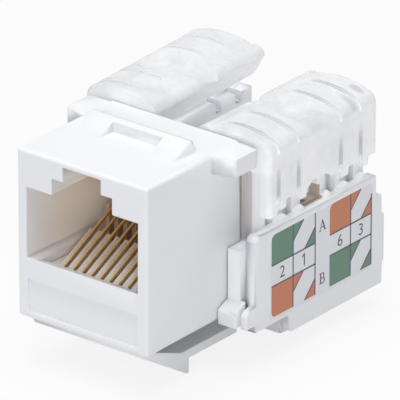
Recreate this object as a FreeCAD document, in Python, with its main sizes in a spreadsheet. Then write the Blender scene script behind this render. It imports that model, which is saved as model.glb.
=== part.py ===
"""Keystone jack: an eight-way modular jack that snaps into a panel, with capped punch-down towers.

Each piece is modelled with +X to the right, +Y from the port face to the rear and Z = 0 at the
underside of the front housing.  The placement of every piece then lowers it by ``axis_height``,
so the frame's origin is the centre of the port's mouth.
"""

import FreeCAD, Part
import os
import re

import Sketcher

# Driving dimensions in millimetres and degrees: alias, value, meaning.
SIZES = [
    ("axis_height", 9.2, "centre of the port above the underside"),
    # front housing
    ("housing_width", 14.5, "outside width"),
    ("housing_height", 16.1, "outside height"),
    ("housing_depth", 13.0, "front face to rear face"),
    ("housing_edge_radius", 0.35, "rounding of the outer edges"),
    ("port_width", 12.45, "plug cavity"),
    ("port_sill", 5.9, "lower edge of the plug cavity"),
    ("port_shoulder", 12.55, "top of the plug cavity beside the key"),
    ("key_shoulder", 14.1, "top of the wide part of the key way"),
    ("key_top", 15.5, "top of the narrow part of the key way"),
    ("key_step_width", 6.7, "wide part of the key way"),
    ("key_width", 4.2, "narrow part of the key way"),
    ("port_depth", 11.5, "depth of the plug cavity"),
    ("sill_bevel", 0.45, "slope inside the lower edge of the mouth"),
    ("bay_width", 10.4, "space for the contact carrier"),
    ("bay_floor", 1.5, "bottom of that space"),
    ("bay_top", 6.2, "top of that space at the rear"),
    ("bay_front", 1.15, "front of that space"),
    ("recess_width", 12.0, "shallow panel under the port"),
    ("recess_bottom", 0.65, "lower edge of the panel"),
    ("recess_top", 3.75, "upper edge of the panel"),
    ("recess_depth", 0.35, "depth of the panel"),
    ("hook_width", 11.0, "fixed hook on the top"),
    ("hook_notch_width", 5.5, "square-fronted middle of the hook"),
    ("hook_toe", 6.0, "start of the hook's ramps"),
    ("hook_crest", 8.2, "top of the hook"),
    ("hook_heel", 9.15, "rear foot of the hook"),
    ("hook_rise", 1.17, "height of the hook"),
    ("hook_notch_front", 7.8, "front wall of the middle of the hook"),
    ("ear_span", 18.9, "tip to tip over the two stop ears"),
    ("ear_root", 8.95, "front of an ear at the housing"),
    ("ear_tip", 9.55, "front of an ear at its tip"),
    ("ear_back", 12.7, "rear of the ears"),
    ("ear_thickness", 1.7, "height of the ears"),
    # latch lever
    ("latch_width", 12.0, "width of the lever"),
    ("latch_gap", 0.1, "clearance between the lever's root and the housing"),
    ("latch_root_y", 1.0, "place of the bending line"),
    ("latch_root_radius", 0.3, "rounding of the root"),
    ("latch_tip_y", 7.24, "tip of the catch"),
    ("latch_tip_drop", 4.44, "tip of the catch below the housing"),
    ("latch_heel_y", 7.45, "shoulder that holds the panel"),
    ("latch_arm_drop", 3.08, "underside of the arm below the housing"),
    ("latch_arm_thickness", 0.9, "thickness of the arm"),
    ("latch_end_y", 14.2, "end of the arm"),
    # contact wires
    ("wire_width", 0.44, "width of a contact wire"),
    ("wire_thickness", 0.34, "thickness of a contact wire"),
    ("wire_edge", 0.1, "broken edges of a contact wire"),
    ("wire_pitch", 1.016, "spacing of the contact wires"),
    ("wire_slope", 25.7, "rise of the contact beams"),
    ("wire_beam", 8.7, "length of the straight beam"),
    ("wire_nose_y", 2.13, "centre of the bend at the nose"),
    ("wire_nose_radius", 0.6, "radius of that bend"),
    ("wire_leg_z", 3.9, "height of the lower leg"),
    ("wire_drop_y", 11.75, "place of the tail that meets the board"),
    ("wire_bend_radius", 0.45, "radius of the bend above the tail"),
    # contact carrier
    ("carrier_clearance", 0.1, "gap between carrier and housing"),
    ("carrier_groove", 0.54, "width of each wire's groove"),
    ("carrier_base_top", 4.9, "top of the carrier's low base"),
    ("comb_width", 8.3, "width of the comb that stands on the base"),
    ("carrier_ramp_end", 6.3, "rear of the sloping comb"),
    ("carrier_trench_end", 8.5, "rear of the open trench behind the comb"),
    ("carrier_trench_z", 4.6, "bottom of that trench"),
    ("carrier_back", 10.9, "rear of the carrier"),
    ("carrier_rear_z", 9.0, "top of the rear comb"),
    # circuit board
    ("board_thickness", 1.2, "circuit board"),
    ("board_bottom", 1.6, "underside of the board"),
    ("board_width", 16.0, "board under the towers"),
    ("board_tongue_width", 10.0, "board inside the front housing"),
    ("board_front", 9.0, "front edge of the tongue"),
    ("board_step", 13.8, "start of the wide part"),
    ("board_back", 27.7, "rear edge"),
    # termination block
    ("plate_outer", 10.3, "outer face of the side plates from the middle"),
    ("plate_inner", 9.2, "inner face of the side plates"),
    ("plate_front", 11.4, "front edge of the side plates"),
    ("plate_top", 8.2, "upper edge of the side plates"),
    ("plate_bottom", -0.9, "lower edge of the side plates in front"),
    ("plate_step_y", 16.4, "where the lower edge drops"),
    ("plate_low", -2.6, "lower edge of the side plates behind"),
    ("plate_back", 29.9, "rear edge of the side plates"),
    ("post_outer", 8.75, "outer side of the front posts"),
    ("post_front", 11.05, "front of the front posts"),
    ("ledge_top", 6.65, "top of the lower block"),
    ("block_front", 13.05, "front of the block behind the housing"),
    ("block_back", 28.6, "rear of the block"),
    ("block_clearance", 0.1, "gap between the posts and the housing"),
    ("foot_front", 9.7, "front of the inner feet"),
    ("foot_outer", 9.3, "outer side of the inner feet"),
    ("foot_bottom", -0.2, "underside of the feet"),
    ("foot_top", 1.3, "top of the feet"),
    ("side_foot_inner", 9.6, "inner side of the outer feet"),
    ("tower_inner", 3.4, "inner side of the towers"),
    ("tower_front", 13.45, "front of the towers"),
    ("tower_back", 28.3, "rear of the towers"),
    ("tower_shelf", 13.3, "shelf that the cap's skirt sits on"),
    ("tower_setback", 0.95, "width of that shelf"),
    ("post_top", 14.6, "tips of the posts"),
    ("post_shoulder", 13.2, "foot of the pointed tips"),
    ("first_slot", 14.55, "first wire slot from the port face"),
    ("slot_pitch", 2.85, "two wire slots of one pair"),
    ("pair_pitch", 8.9, "first pair to second pair"),
    ("slot_width", 0.84, "width of a wire slot"),
    ("slot_floor", 12.3, "bottom of a wire slot on the inner side"),
    ("slot_deep", 7.6, "bottom of a wire slot on the outer side"),
    ("slot_deep_start", 5.3, "inner end of the deep slots"),
    ("tooth_outer", 9.9, "outer side of the guide teeth"),
    ("tooth_top", 8.85, "tips of the guide teeth"),
    ("tooth_shoulder", 8.15, "foot of the tips of the guide teeth"),
    ("front_groove", 0.9, "width of the groove in the towers' front"),
    ("front_groove_start", 7.2, "inner side of that groove"),
    ("gap_width", 2.5, "open pocket between the pairs"),
    ("gap_inner", 5.2, "inner wall of that pocket"),
    ("gap_floor", 8.4, "bottom of that pocket"),
    ("well_floor", 4.2, "bottom of the deep half of that pocket"),
    ("cavity_top", 3.1, "top of the room for the board"),
    # insulation-displacement contacts
    ("fork_x", 6.7, "contacts from the middle"),
    ("fork_width", 1.6, "width of a contact"),
    ("fork_thickness", 0.4, "sheet thickness"),
    ("fork_top", 13.1, "tips of the contacts"),
    ("fork_slot", 0.28, "wire gap between the tines"),
    ("fork_slot_depth", 3.4, "depth of that gap"),
    ("fork_leg_width", 0.7, "leg that stands on the board"),
    ("fork_shoulder", 6.0, "top of the leg"),
    ("fork_clearance", 0.08, "gap between a contact and its pocket"),
    # base cover
    ("cover_width", 17.5, "width of the bottom cover"),
    ("cover_front", 16.9, "front of the bottom cover"),
    ("cover_bottom", -3.4, "underside of the bottom cover"),
    ("cover_wall", 1.0, "wall of the bottom cover"),
    ("cover_rib", 1.2, "width of the ribs that carry the board"),
    # caps
    ("cap_inner", 2.2, "innermost line of a cap"),
    ("cap_front", 13.3, "front of a cap"),
    ("cap_back", 28.8, "rear of a cap"),
    ("cap_wall", 0.75, "wall thickness of a cap"),
    ("cap_end_wall", 0.6, "thickness of its front and rear walls"),
    ("cap_shoulder_z", 15.1, "start of the rounded shoulder"),
    ("cap_shoulder_radius", 1.2, "radius of the rounded shoulder"),
    ("cap_crown", 16.9, "highest part of the roof"),
    ("cap_roof_radius", 9.5, "radius of the crowned roof"),
    ("cap_edge", 16.35, "roof at its inner and outer edges"),
    ("cap_saddle", 15.6, "lowest point of the roof's inner edge"),
    ("cap_ceiling", 15.3, "underside of the roof"),
    ("cap_skirt", 13.4, "lower edge of the inner skirt"),
    ("cap_skirt_inner", 3.5, "inner edge of the skirt's lower end"),
    ("cap_side_bottom", 9.75, "lower ends of the outer wall's fingers"),
    ("cap_leg_bottom", 9.35, "lower end of the front leg"),
    ("cap_leg_width", 1.05, "width of the front leg"),
    ("cap_corner_radius", 0.5, "rounding of the cap's upright corners"),
    ("cap_rib", 0.5, "ribs that press the wires down"),
    ("cap_rib_bottom", 13.25, "lower edge of those ribs"),
    ("cap_groove", 0.32, "hollow backs of the ribs"),
    ("cap_groove_depth", 0.5, "depth of the hollow backs"),
    ("cap_groove_start", 4.9, "inner end of the hollow backs"),
    ("cap_slit_bottom", 10.9, "lower end of the slits in the outer wall"),
    ("cap_slit_top", 13.7, "upper end of those slits"),
    ("cap_dish_radius", 3.2, "shallow finger dish in the roof"),
    ("cap_dish_depth", 0.35, "depth of that dish"),
    ("cap_notch", 10.5, "lower edge of the outer wall between its fingers"),
    ("left_cap_lift", 0.45, "the left cap isn't pressed home"),
    ("left_cap_tilt", 1.8, "its rear end stands higher than its front"),
    ("cap_window_top", 11.0, "top of the arch between the pairs"),
    ("cap_window_width", 3.3, "width of that arch"),
    # labels
    ("label_front", 13.25, "front edge of a label"),
    ("label_back", 28.0, "rear edge of a label"),
    ("label_bottom", -0.4, "lower edge of a label"),
    ("label_top", 7.85, "upper edge of a label"),
    ("label_corner", 0.7, "corner radius of a label"),
    ("label_thickness", 0.1, "thickness of a label"),
]

WIRE_COUNT = 8
SLOT_COUNT = 4
SIDES = {"left": -1, "right": 1}

doc = FreeCAD.newDocument("keystone_jack")
sheet = doc.addObject("Spreadsheet::Sheet", "dims")
for row, (alias, value, meaning) in enumerate(SIZES, start=1):
    sheet.set(f"A{row}", str(value))
    sheet.set(f"B{row}", meaning)
    sheet.setAlias(f"A{row}", alias)
doc.recompute()

ALIASES = {alias for alias, _value, _meaning in SIZES}
V = FreeCAD.Vector
subparts = []


def bound(formula):
    """Return the formula with each alias written as a cell of the sheet."""
    return re.sub(r"[a-z]\w*", lambda word: "dims." + word[0] if word[0] in ALIASES else word[0], formula)


def number(formula):
    """Return the present value of a formula over the sheet's aliases."""
    return float(sheet.evalExpression(bound(formula)))


def new_body(label):
    """Start one sub-part, lowered so that the port's axis is the frame's origin."""
    body = doc.addObject("PartDesign::Body", label)
    body.Label = label
    body.setExpression("Placement.Base.z", bound("-axis_height"))
    subparts.append(body)
    return body


def draw(body, plane, name, loops, offset="0"):
    """Draw closed outlines on one of the body's planes, moved along that plane's axis.

    A corner is (x, y), or (x, y, radius, side) when the stretch that starts there is an arc
    with its centre on the left or the right of the way.
    """
    sketch = body.newObject("Sketcher::SketchObject", name)
    support = [item for item in body.Origin.OriginFeatures if item.Role == plane + "_Plane"][0]
    sketch.AttachmentSupport = [(support, "")]
    sketch.MapMode = "FlatFace"
    sign = "-" if plane == "XZ" else ""
    sketch.setExpression("AttachmentOffset.Base.z", bound(f"{sign}({offset})"))
    for loop in loops:
        draw_loop(sketch, loop, closed=True)
    return sketch


def arc_middle(start, end, radius, side):
    """Return the middle point of the shorter arc between two points."""
    chord = end - start
    half = chord.Length / 2
    normal = V(-chord.y, chord.x, 0).normalize()
    if side == "right":
        normal = normal.negative()
    height = (radius * radius - half * half) ** 0.5
    centre = (start + end) * 0.5 + normal * height
    return centre - normal * radius


def draw_loop(sketch, loop, closed):
    """Add one outline to a sketch, with every size of it bound to the sheet."""
    points = [V(number(corner[0]), number(corner[1]), 0) for corner in loop]
    first = sketch.GeometryCount
    stretches = len(loop) if closed else len(loop) - 1
    ends = []
    for index in range(stretches):
        start, end = points[index], points[(index + 1) % len(loop)]
        corner = loop[index]
        if len(corner) == 2:
            sketch.addGeometry(Part.LineSegment(start, end))
            ends.append((1, 2))
            continue
        middle = arc_middle(start, end, number(corner[2]), corner[3])
        sketch.addGeometry(Part.Arc(start, middle, end))
        ends.append((1, 2) if corner[3] == "left" else (2, 1))
        datum = sketch.addConstraint(Sketcher.Constraint("Radius", first + index, number(corner[2])))
        sketch.setExpression(f"Constraints[{datum}]", bound(corner[2]))
    for index, corner in enumerate(loop):
        if index < stretches:
            geometry, end = first + index, ends[index][0]
        else:
            geometry, end = first + index - 1, ends[index - 1][1]
        for axis, formula in (("DistanceX", corner[0]), ("DistanceY", corner[1])):
            distance = Sketcher.Constraint(axis, -1, 1, geometry, end, number(formula))
            datum = sketch.addConstraint(distance)
            sketch.setExpression(f"Constraints[{datum}]", bound(formula))
    for index in range(stretches):
        if index + 1 < stretches or closed:
            following = (index + 1) % stretches
            sketch.addConstraint(Sketcher.Constraint(
                "Coincident", first + index, ends[index][1], first + following, ends[following][0]))


def box_loop(low_x, low_y, high_x, high_y):
    """Return the outline of a rectangle from its formulas."""
    return [(low_x, low_y), (high_x, low_y), (high_x, high_y), (low_x, high_y)]


def mirrored(loops):
    """Return the outlines with their copies on the other side of the sketch's upright axis."""
    swap = {"left": "right", "right": "left"}
    copies = []
    for loop in loops:
        copy = [(f"-({corner[0]})", corner[1]) + ((corner[2], swap[corner[3]]) if len(corner) > 2 else ())
                for corner in loop]
        copies.append(copy)
    return loops + copies


def volume_of(body):
    """Return the body's present volume, or nothing before its first feature."""
    return body.Shape.Volume if body.Tip and not body.Shape.isNull() else 0.0


def add_feature(body, kind, sketch, length, forward):
    """Add a Pad or a Pocket that runs along the plane's positive axis, or back along it."""
    before = volume_of(body)
    feature = body.newObject("PartDesign::" + kind, sketch.Name + "_" + kind.lower())
    feature.Profile = sketch
    feature.setExpression("Length", bound(length))
    normal_is_back = sketch.AttachmentSupport[0][0].Role == "XZ_Plane"
    along_normal = forward != normal_is_back
    feature.Reversed = not along_normal if kind == "Pad" else along_normal
    doc.recompute()
    grew = body.Shape.Volume > before
    if grew != (kind == "Pad"):
        raise RuntimeError(f"{feature.Name} did not change its body as it should")
    sketch.Visibility = False
    return feature


def pad(body, sketch, length, forward=True):
    """Add the outline's material along the axis of its plane."""
    return add_feature(body, "Pad", sketch, length, forward)


def pocket(body, sketch, length, forward=True):
    """Cut the outline's space along the axis of its plane."""
    return add_feature(body, "Pocket", sketch, length, forward)


def repeat_along(body, feature, role, count, pitch):
    """Repeat a feature along one of the body's axes."""
    pattern = body.newObject("PartDesign::LinearPattern", feature.Name + "_row")
    pattern.Originals = [feature]
    axis = [item for item in body.Origin.OriginFeatures if item.Role == role + "_Axis"][0]
    pattern.Direction = (axis, [""])
    pattern.Occurrences = count
    pattern.setExpression("Length", bound(f"({pitch}) * {count - 1}"))
    body.Tip = pattern
    doc.recompute()
    return pattern


def round_edges(body, radius, chosen):
    """Round the edges of the body's tip for which ``chosen`` is true."""
    base = body.Tip
    names = [f"Edge{index}" for index, edge in enumerate(base.Shape.Edges, start=1) if chosen(edge)]
    if not names:
        raise RuntimeError(f"no edge of {body.Label} is left to round")
    fillet = body.newObject("PartDesign::Fillet", body.Label + "_rounding")
    fillet.Base = (base, names)
    fillet.setExpression("Radius", bound(radius))
    doc.recompute()
    return fillet


def close_to(value, formula):
    """Tell whether a coordinate lies where the formula puts it."""
    return abs(value - number(formula)) < 1e-4


def is_along(edge, axis):
    """Tell whether an edge runs straight along "x", "y" or "z"."""
    box = edge.BoundBox
    spans = {"x": box.XLength, "y": box.YLength, "z": box.ZLength}
    return spans.pop(axis) > 1e-3 and max(spans.values()) < 1e-4


def slot_y(index):
    """Return the formula of a wire slot's place, counted from the port face."""
    return f"(first_slot + {index % 2} * slot_pitch + {index // 2} * pair_pitch)"


# The pocket between the pairs lies midway between the second and the third wire slot.
MIDDLE_Y = "(first_slot + (slot_pitch + pair_pitch) / 2)"


def make_front_housing():
    """Shell with the plug cavity, the contact bay, the fixed hook and the two stop ears."""
    body = new_body("front_housing")
    half = "housing_width / 2"
    outline = draw(body, "XZ", "housing_outline", [box_loop(f"-{half}", "0", half, "housing_height")])
    pad(body, outline, "housing_depth")

    def outer_edge(edge):
        box = edge.BoundBox
        return is_along(edge, "y") or (box.YLength < 1e-4 and close_to(box.YMin, "0"))

    round_edges(body, "housing_edge_radius", outer_edge)

    wide, step, key = "port_width / 2", "key_step_width / 2", "key_width / 2"
    mouth = [(f"-{wide}", "port_sill"), (wide, "port_sill"), (wide, "port_shoulder"),
             (step, "port_shoulder"), (step, "key_shoulder"), (key, "key_shoulder"), (key, "key_top"),
             (f"-{key}", "key_top"), (f"-{key}", "key_shoulder"), (f"-{step}", "key_shoulder"),
             (f"-{step}", "port_shoulder"), (f"-{wide}", "port_shoulder")]
    pocket(body, draw(body, "XZ", "port_mouth", [mouth]), "port_depth")

    bay = box_loop("-bay_width / 2", "bay_floor", "bay_width / 2", "bay_top")
    pocket(body, draw(body, "XZ", "contact_bay", [bay], "bay_front"), "housing_depth - bay_front")

    bevel = [("-0.1", "port_sill + 0.1"), ("-0.1", "port_sill"), ("bay_front", "port_sill - sill_bevel"),
             ("bay_front + 0.2", "port_sill - sill_bevel"), ("bay_front + 0.2", "port_sill + 0.1")]
    pocket(body, draw(body, "YZ", "sill_slope", [bevel], "-bay_width / 2"), "bay_width")

    panel = box_loop("-recess_width / 2", "recess_bottom", "recess_width / 2", "recess_top")
    pocket(body, draw(body, "XZ", "recess", [panel]), "recess_depth")

    hook = [("hook_toe", "housing_height - 0.3"), ("hook_heel", "housing_height - 0.3"),
            ("hook_heel", "housing_height"), ("hook_crest + 0.25", "housing_height + hook_rise"),
            ("hook_crest", "housing_height + hook_rise"), ("hook_toe", "housing_height")]
    pad(body, draw(body, "YZ", "hook", [hook], "-hook_width / 2"), "hook_width")
    notch = [("hook_toe - 0.1", "housing_height"), ("hook_notch_front", "housing_height"),
             ("hook_notch_front", "housing_height + hook_rise + 0.1"),
             ("hook_toe - 0.1", "housing_height + hook_rise + 0.1")]
    pocket(body, draw(body, "YZ", "hook_notch", [notch], "-hook_notch_width / 2"), "hook_notch_width",
           forward=True)

    ears = [("housing_width / 2 - 0.6", "ear_root"), ("housing_width / 2", "ear_root"),
            ("ear_span / 2", "ear_tip"), ("ear_span / 2", "ear_back"),
            ("housing_width / 2 - 0.6", "ear_back")]
    plan = draw(body, "XY", "ears", mirrored([ears]), "housing_height - ear_thickness")
    pad(body, plan, "ear_thickness")

    def ear_edge(edge):
        box = edge.BoundBox
        return is_along(edge, "z") and close_to(abs(box.XMin), "ear_span / 2")

    round_edges(body, "housing_edge_radius", ear_edge)


def make_latch_lever():
    """Springy lever under the housing: ramp, catch that holds the panel, and finger arm."""
    body = new_body("latch_lever")
    root_z = "(0 - latch_gap - latch_root_radius)"
    profile = [
        ("latch_root_y - latch_root_radius * 0.5", f"{root_z} - latch_root_radius * 0.8660254",
         "latch_root_radius", "right"),
        ("latch_root_y", f"{root_z} + latch_root_radius", "latch_root_radius", "right"),
        ("latch_root_y + latch_root_radius * 0.8660254", f"{root_z} + latch_root_radius * 0.5"),
        ("latch_heel_y - 1.1", "0 - latch_arm_drop + latch_arm_thickness"),
        ("latch_end_y", "0 - latch_arm_drop + latch_arm_thickness"),
        ("latch_end_y", "0 - latch_arm_drop"),
        ("latch_heel_y", "0 - latch_arm_drop"),
        ("latch_heel_y", "0 - latch_tip_drop + 0.15"),
        ("latch_tip_y", "0 - latch_tip_drop"),
        ("latch_tip_y - 0.15", "0 - latch_tip_drop"),
    ]
    pad(body, draw(body, "YZ", "latch_profile", [profile], "-latch_width / 2"), "latch_width")


def make_contact_carrier():
    """Insert with a sloping comb that keeps the contact wires apart."""
    body = new_body("contact_carrier")
    front = "bay_front + carrier_clearance"
    ramp_rise = "(wire_nose_radius + wire_leg_z + wire_nose_radius * cos(wire_slope))"
    ramp = f"{ramp_rise} + (carrier_ramp_end - wire_nose_y) * tan(wire_slope) - 0.05"
    low = "bay_floor + carrier_clearance"
    profile = [(front, low), ("board_front - carrier_clearance", low),
               ("board_front - carrier_clearance", "board_bottom + board_thickness + carrier_clearance"),
               ("carrier_back", "board_bottom + board_thickness + carrier_clearance"),
               ("carrier_back", "carrier_rear_z"), ("carrier_trench_end", "carrier_rear_z - 0.5"),
               ("carrier_trench_end", "carrier_trench_z"), ("carrier_ramp_end", "carrier_trench_z"),
               ("carrier_ramp_end", ramp), ("wire_nose_y", f"{ramp_rise} - 0.05"),
               (front, f"{ramp_rise} - 0.2")]
    pad(body, draw(body, "YZ", "carrier_comb", [profile], "-comb_width / 2"), "comb_width")
    above_board = "board_bottom + board_thickness + carrier_clearance"
    base = [(front, low), ("board_front - carrier_clearance", low),
            ("board_front - carrier_clearance", above_board), ("carrier_back", above_board),
            ("carrier_back", "carrier_base_top"), (f"{front} + 0.3", "carrier_base_top"),
            (front, "carrier_base_top - 0.3")]
    width = "bay_width - 2 * carrier_clearance"
    pad(body, draw(body, "YZ", "carrier_base", [base], f"-({width}) / 2"), width)
    groove_bottom = "wire_leg_z - wire_width / 2 - 0.1"
    groove = box_loop("wire_nose_y - wire_nose_radius - wire_width / 2 - 0.1", groove_bottom,
                      "carrier_back + 0.1", "carrier_rear_z + 0.1")
    first_x = f"-wire_pitch * {(WIRE_COUNT - 1) / 2} - carrier_groove / 2"
    cut = pocket(body, draw(body, "YZ", "wire_groove", [groove], first_x), "carrier_groove")
    repeat_along(body, cut, "X", WIRE_COUNT, "wire_pitch")


def make_contact_wire(index):
    """One bent contact wire: tail on the board, lower leg, nose bend and springy beam."""
    body = new_body(f"contact_wire_{index + 1}")
    x = f"(wire_pitch * {index - (WIRE_COUNT - 1) / 2})"
    board_top = "board_bottom + board_thickness"
    nose_z = "(wire_leg_z + wire_nose_radius)"
    top_y = "(wire_nose_y - wire_nose_radius * sin(wire_slope))"
    top_z = f"({nose_z} + wire_nose_radius * cos(wire_slope))"
    path = body.newObject("Sketcher::SketchObject", f"wire_path_{index + 1}")
    support = [item for item in body.Origin.OriginFeatures if item.Role == "YZ_Plane"][0]
    path.AttachmentSupport = [(support, "")]
    path.MapMode = "FlatFace"
    path.setExpression("AttachmentOffset.Base.z", bound(x))
    draw_loop(path, [
        ("wire_drop_y", board_top),
        ("wire_drop_y", "wire_leg_z - wire_bend_radius", "wire_bend_radius", "left"),
        ("wire_drop_y - wire_bend_radius", "wire_leg_z"),
        ("wire_nose_y", "wire_leg_z", "wire_nose_radius", "right"),
        ("wire_nose_y - wire_nose_radius", nose_z, "wire_nose_radius", "right"),
        (top_y, top_z),
        (f"{top_y} + wire_beam * cos(wire_slope)", f"{top_z} + wire_beam * sin(wire_slope)"),
    ], closed=False)
    section = body.newObject("Sketcher::SketchObject", f"wire_section_{index + 1}")
    support = [item for item in body.Origin.OriginFeatures if item.Role == "XY_Plane"][0]
    section.AttachmentSupport = [(support, "")]
    section.MapMode = "FlatFace"
    section.setExpression("AttachmentOffset.Base.z", bound(board_top))
    low_x, high_x = f"{x} - wire_width / 2", f"{x} + wire_width / 2"
    low_y, high_y = "wire_drop_y - wire_thickness / 2", "wire_drop_y + wire_thickness / 2"
    draw_loop(section, [
        (f"{low_x} + wire_edge", low_y), (f"{high_x} - wire_edge", low_y),
        (high_x, f"{low_y} + wire_edge"), (high_x, f"{high_y} - wire_edge"),
        (f"{high_x} - wire_edge", high_y), (f"{low_x} + wire_edge", high_y),
        (low_x, f"{high_y} - wire_edge"), (low_x, f"{low_y} + wire_edge"),
    ], closed=True)
    doc.recompute()
    pipe = body.newObject("PartDesign::AdditivePipe", f"wire_pipe_{index + 1}")
    pipe.Profile = section
    pipe.Spine = path
    doc.recompute()


def make_circuit_board():
    """Board that joins the contact wires to the punch-down contacts."""
    body = new_body("circuit_board")
    wide, tongue = "board_width / 2", "board_tongue_width / 2"
    plan = [(f"-{tongue}", "board_front"), (tongue, "board_front"), (tongue, "board_step"),
            (wide, "board_step"), (wide, "board_back"), (f"-{wide}", "board_back"),
            (f"-{wide}", "board_step"), (f"-{tongue}", "board_step")]
    pad(body, draw(body, "XY", "board_plan", [plan], "board_bottom"), "board_thickness")


def tower_profile():
    """Return the side view of the towers: pointed posts between the four wire slots."""
    half = "slot_width / 2"
    base = "ledge_top - 0.5"
    profile = [("tower_front", base), ("tower_front", "tower_shelf")]
    for index in range(SLOT_COUNT):
        before, after = f"{slot_y(index)} - {half}", f"{slot_y(index)} + {half}"
        if index:
            profile.append((before, "post_shoulder"))
        else:
            profile.append((before, "tower_shelf"))
        profile += [(before, "slot_floor"), (after, "slot_floor"), (after, "post_shoulder")]
        if index % 2 == 0:
            profile.append((f"({slot_y(index)} + {slot_y(index + 1)}) / 2", "post_top"))
        elif index == 1:
            profile += [(f"{after} + 0.5", "post_top"), (f"{slot_y(2)} - {half} - 0.5", "post_top")]
    last = f"{slot_y(SLOT_COUNT - 1)} + {half}"
    profile += [(f"{last} + 0.5", "post_top - 0.4"), (f"{last} + 0.9", "tower_shelf"),
                ("tower_back", "tower_shelf"), ("tower_back", base)]
    return profile


def make_termination_block():
    """Rear block: room for the board, side plates, posts, feet and the two slotted towers."""
    body = new_body("termination_block")
    inner = "housing_width / 2 + block_clearance"
    plan = [(inner, "post_front"), ("post_outer", "post_front"), ("post_outer", "block_front + 0.2"),
            ("plate_inner + 0.1", "block_front + 0.2"), ("plate_inner + 0.1", "block_back"),
            ("-plate_inner - 0.1", "block_back"), ("-plate_inner - 0.1", "block_front + 0.2"),
            ("-post_outer", "block_front + 0.2"), ("-post_outer", "post_front"),
            (f"-({inner})", "post_front"), (f"-({inner})", "block_front"), (inner, "block_front")]
    pad(body, draw(body, "XY", "block_plan", [plan]), "ledge_top")

    comb = draw(body, "YZ", "tower_comb", [tower_profile()], "-plate_inner + 0.05")
    pad(body, comb, "2 * (plate_inner - 0.05)")
    channel = box_loop("-tower_inner", "tower_front - 1", "tower_inner", "tower_back + 1")
    pocket(body, draw(body, "XY", "cable_channel", [channel], "ledge_top"), "post_top", forward=True)
    shelf = box_loop("tower_inner - 0.1", "tower_front - 1", "tower_inner + tower_setback", "tower_back + 1")
    pocket(body, draw(body, "XY", "shelves", mirrored([shelf]), "tower_shelf"), "2", forward=True)
    gap = box_loop("gap_inner", f"{MIDDLE_Y} - gap_width / 2", "plate_inner + 0.1",
                   f"{MIDDLE_Y} + gap_width / 2")
    pocket(body, draw(body, "XY", "pair_gaps", mirrored([gap]), "gap_floor"), "post_top", forward=True)
    well = box_loop("gap_inner", f"{MIDDLE_Y} - gap_width / 2", "plate_inner - 0.3", MIDDLE_Y)
    pocket(body, draw(body, "XY", "deep_wells", mirrored([well]), "well_floor"), "post_top", forward=True)
    slots = [box_loop("slot_deep_start", f"{slot_y(index)} - slot_width / 2", "plate_inner + 0.1",
                      f"{slot_y(index)} + slot_width / 2") for index in range(SLOT_COUNT)]
    pocket(body, draw(body, "XY", "deep_slots", mirrored(slots), "slot_deep"), "post_top", forward=True)
    groove = box_loop("front_groove_start", "tower_front - 0.1", "front_groove_start + front_groove",
                      "tower_front + 0.55")
    pocket(body, draw(body, "XY", "front_grooves", mirrored([groove]), "ledge_top"), "post_top",
           forward=True)

    ends = [(f"{slot_y(0)} + slot_width / 2", f"{slot_y(1)} - slot_width / 2"),
            (f"{slot_y(1)} + slot_width / 2", f"{MIDDLE_Y} - gap_width / 2"),
            (f"{MIDDLE_Y} + gap_width / 2", f"{slot_y(2)} - slot_width / 2"),
            (f"{slot_y(2)} + slot_width / 2", f"{slot_y(3)} - slot_width / 2"),
            (f"{slot_y(3)} + slot_width / 2", "tower_back - 0.2")]
    teeth = [[(low, "ledge_top - 0.2"), (high, "ledge_top - 0.2"), (high, "tooth_shoulder"),
              (f"({low} + {high}) / 2", "tooth_top"), (low, "tooth_shoulder")] for low, high in ends]
    tooth_width = "tooth_outer - plate_inner + 0.1"
    pad(body, draw(body, "YZ", "right_teeth", teeth, "plate_inner - 0.1"), tooth_width)
    pad(body, draw(body, "YZ", "left_teeth", teeth, "-tooth_outer"), tooth_width)

    plate = [("plate_front", "plate_bottom"), ("plate_step_y - 0.4", "plate_bottom"),
             ("plate_step_y", "plate_low"), ("plate_back - 0.3", "plate_low"),
             ("plate_back - 0.3", "-0.5"), ("plate_back", "-0.3"), ("plate_back", "4.1"),
             ("plate_back - 0.4", "4.3"), ("plate_back - 0.4", "6.1"), ("block_back", "6.3"),
             ("block_back", "plate_top"), ("plate_front + 0.6", "plate_top", "0.6", "left"),
             ("plate_front", "plate_top - 0.6")]
    thickness = "plate_outer - plate_inner"
    pad(body, draw(body, "YZ", "right_plate", [plate], "plate_inner"), thickness)
    pad(body, draw(body, "YZ", "left_plate", [plate], "-plate_outer"), thickness)
    inner_foot = [("foot_front", "foot_bottom"), ("post_front + 0.2", "foot_bottom"),
                  ("post_front + 0.2", "foot_top + 0.6"), ("foot_front + 0.35", "foot_top + 0.1"),
                  ("foot_front", "foot_top - 0.25")]
    foot_width = f"foot_outer - ({inner})"
    pad(body, draw(body, "YZ", "right_foot", [inner_foot], inner), foot_width)
    pad(body, draw(body, "YZ", "left_foot", [inner_foot], "-foot_outer"), foot_width)
    side_foot = [("foot_front + 0.35", "foot_bottom"), ("plate_front + 0.2", "foot_bottom"),
                 ("plate_front + 0.2", "foot_top + 0.4"), ("foot_front + 0.7", "foot_top + 0.2"),
                 ("foot_front + 0.35", "foot_top - 0.2")]
    side_width = "plate_outer - side_foot_inner"
    pad(body, draw(body, "YZ", "right_side_foot", [side_foot], "side_foot_inner"), side_width)
    pad(body, draw(body, "YZ", "left_side_foot", [side_foot], "-plate_outer"), side_width)
    return body


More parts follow.
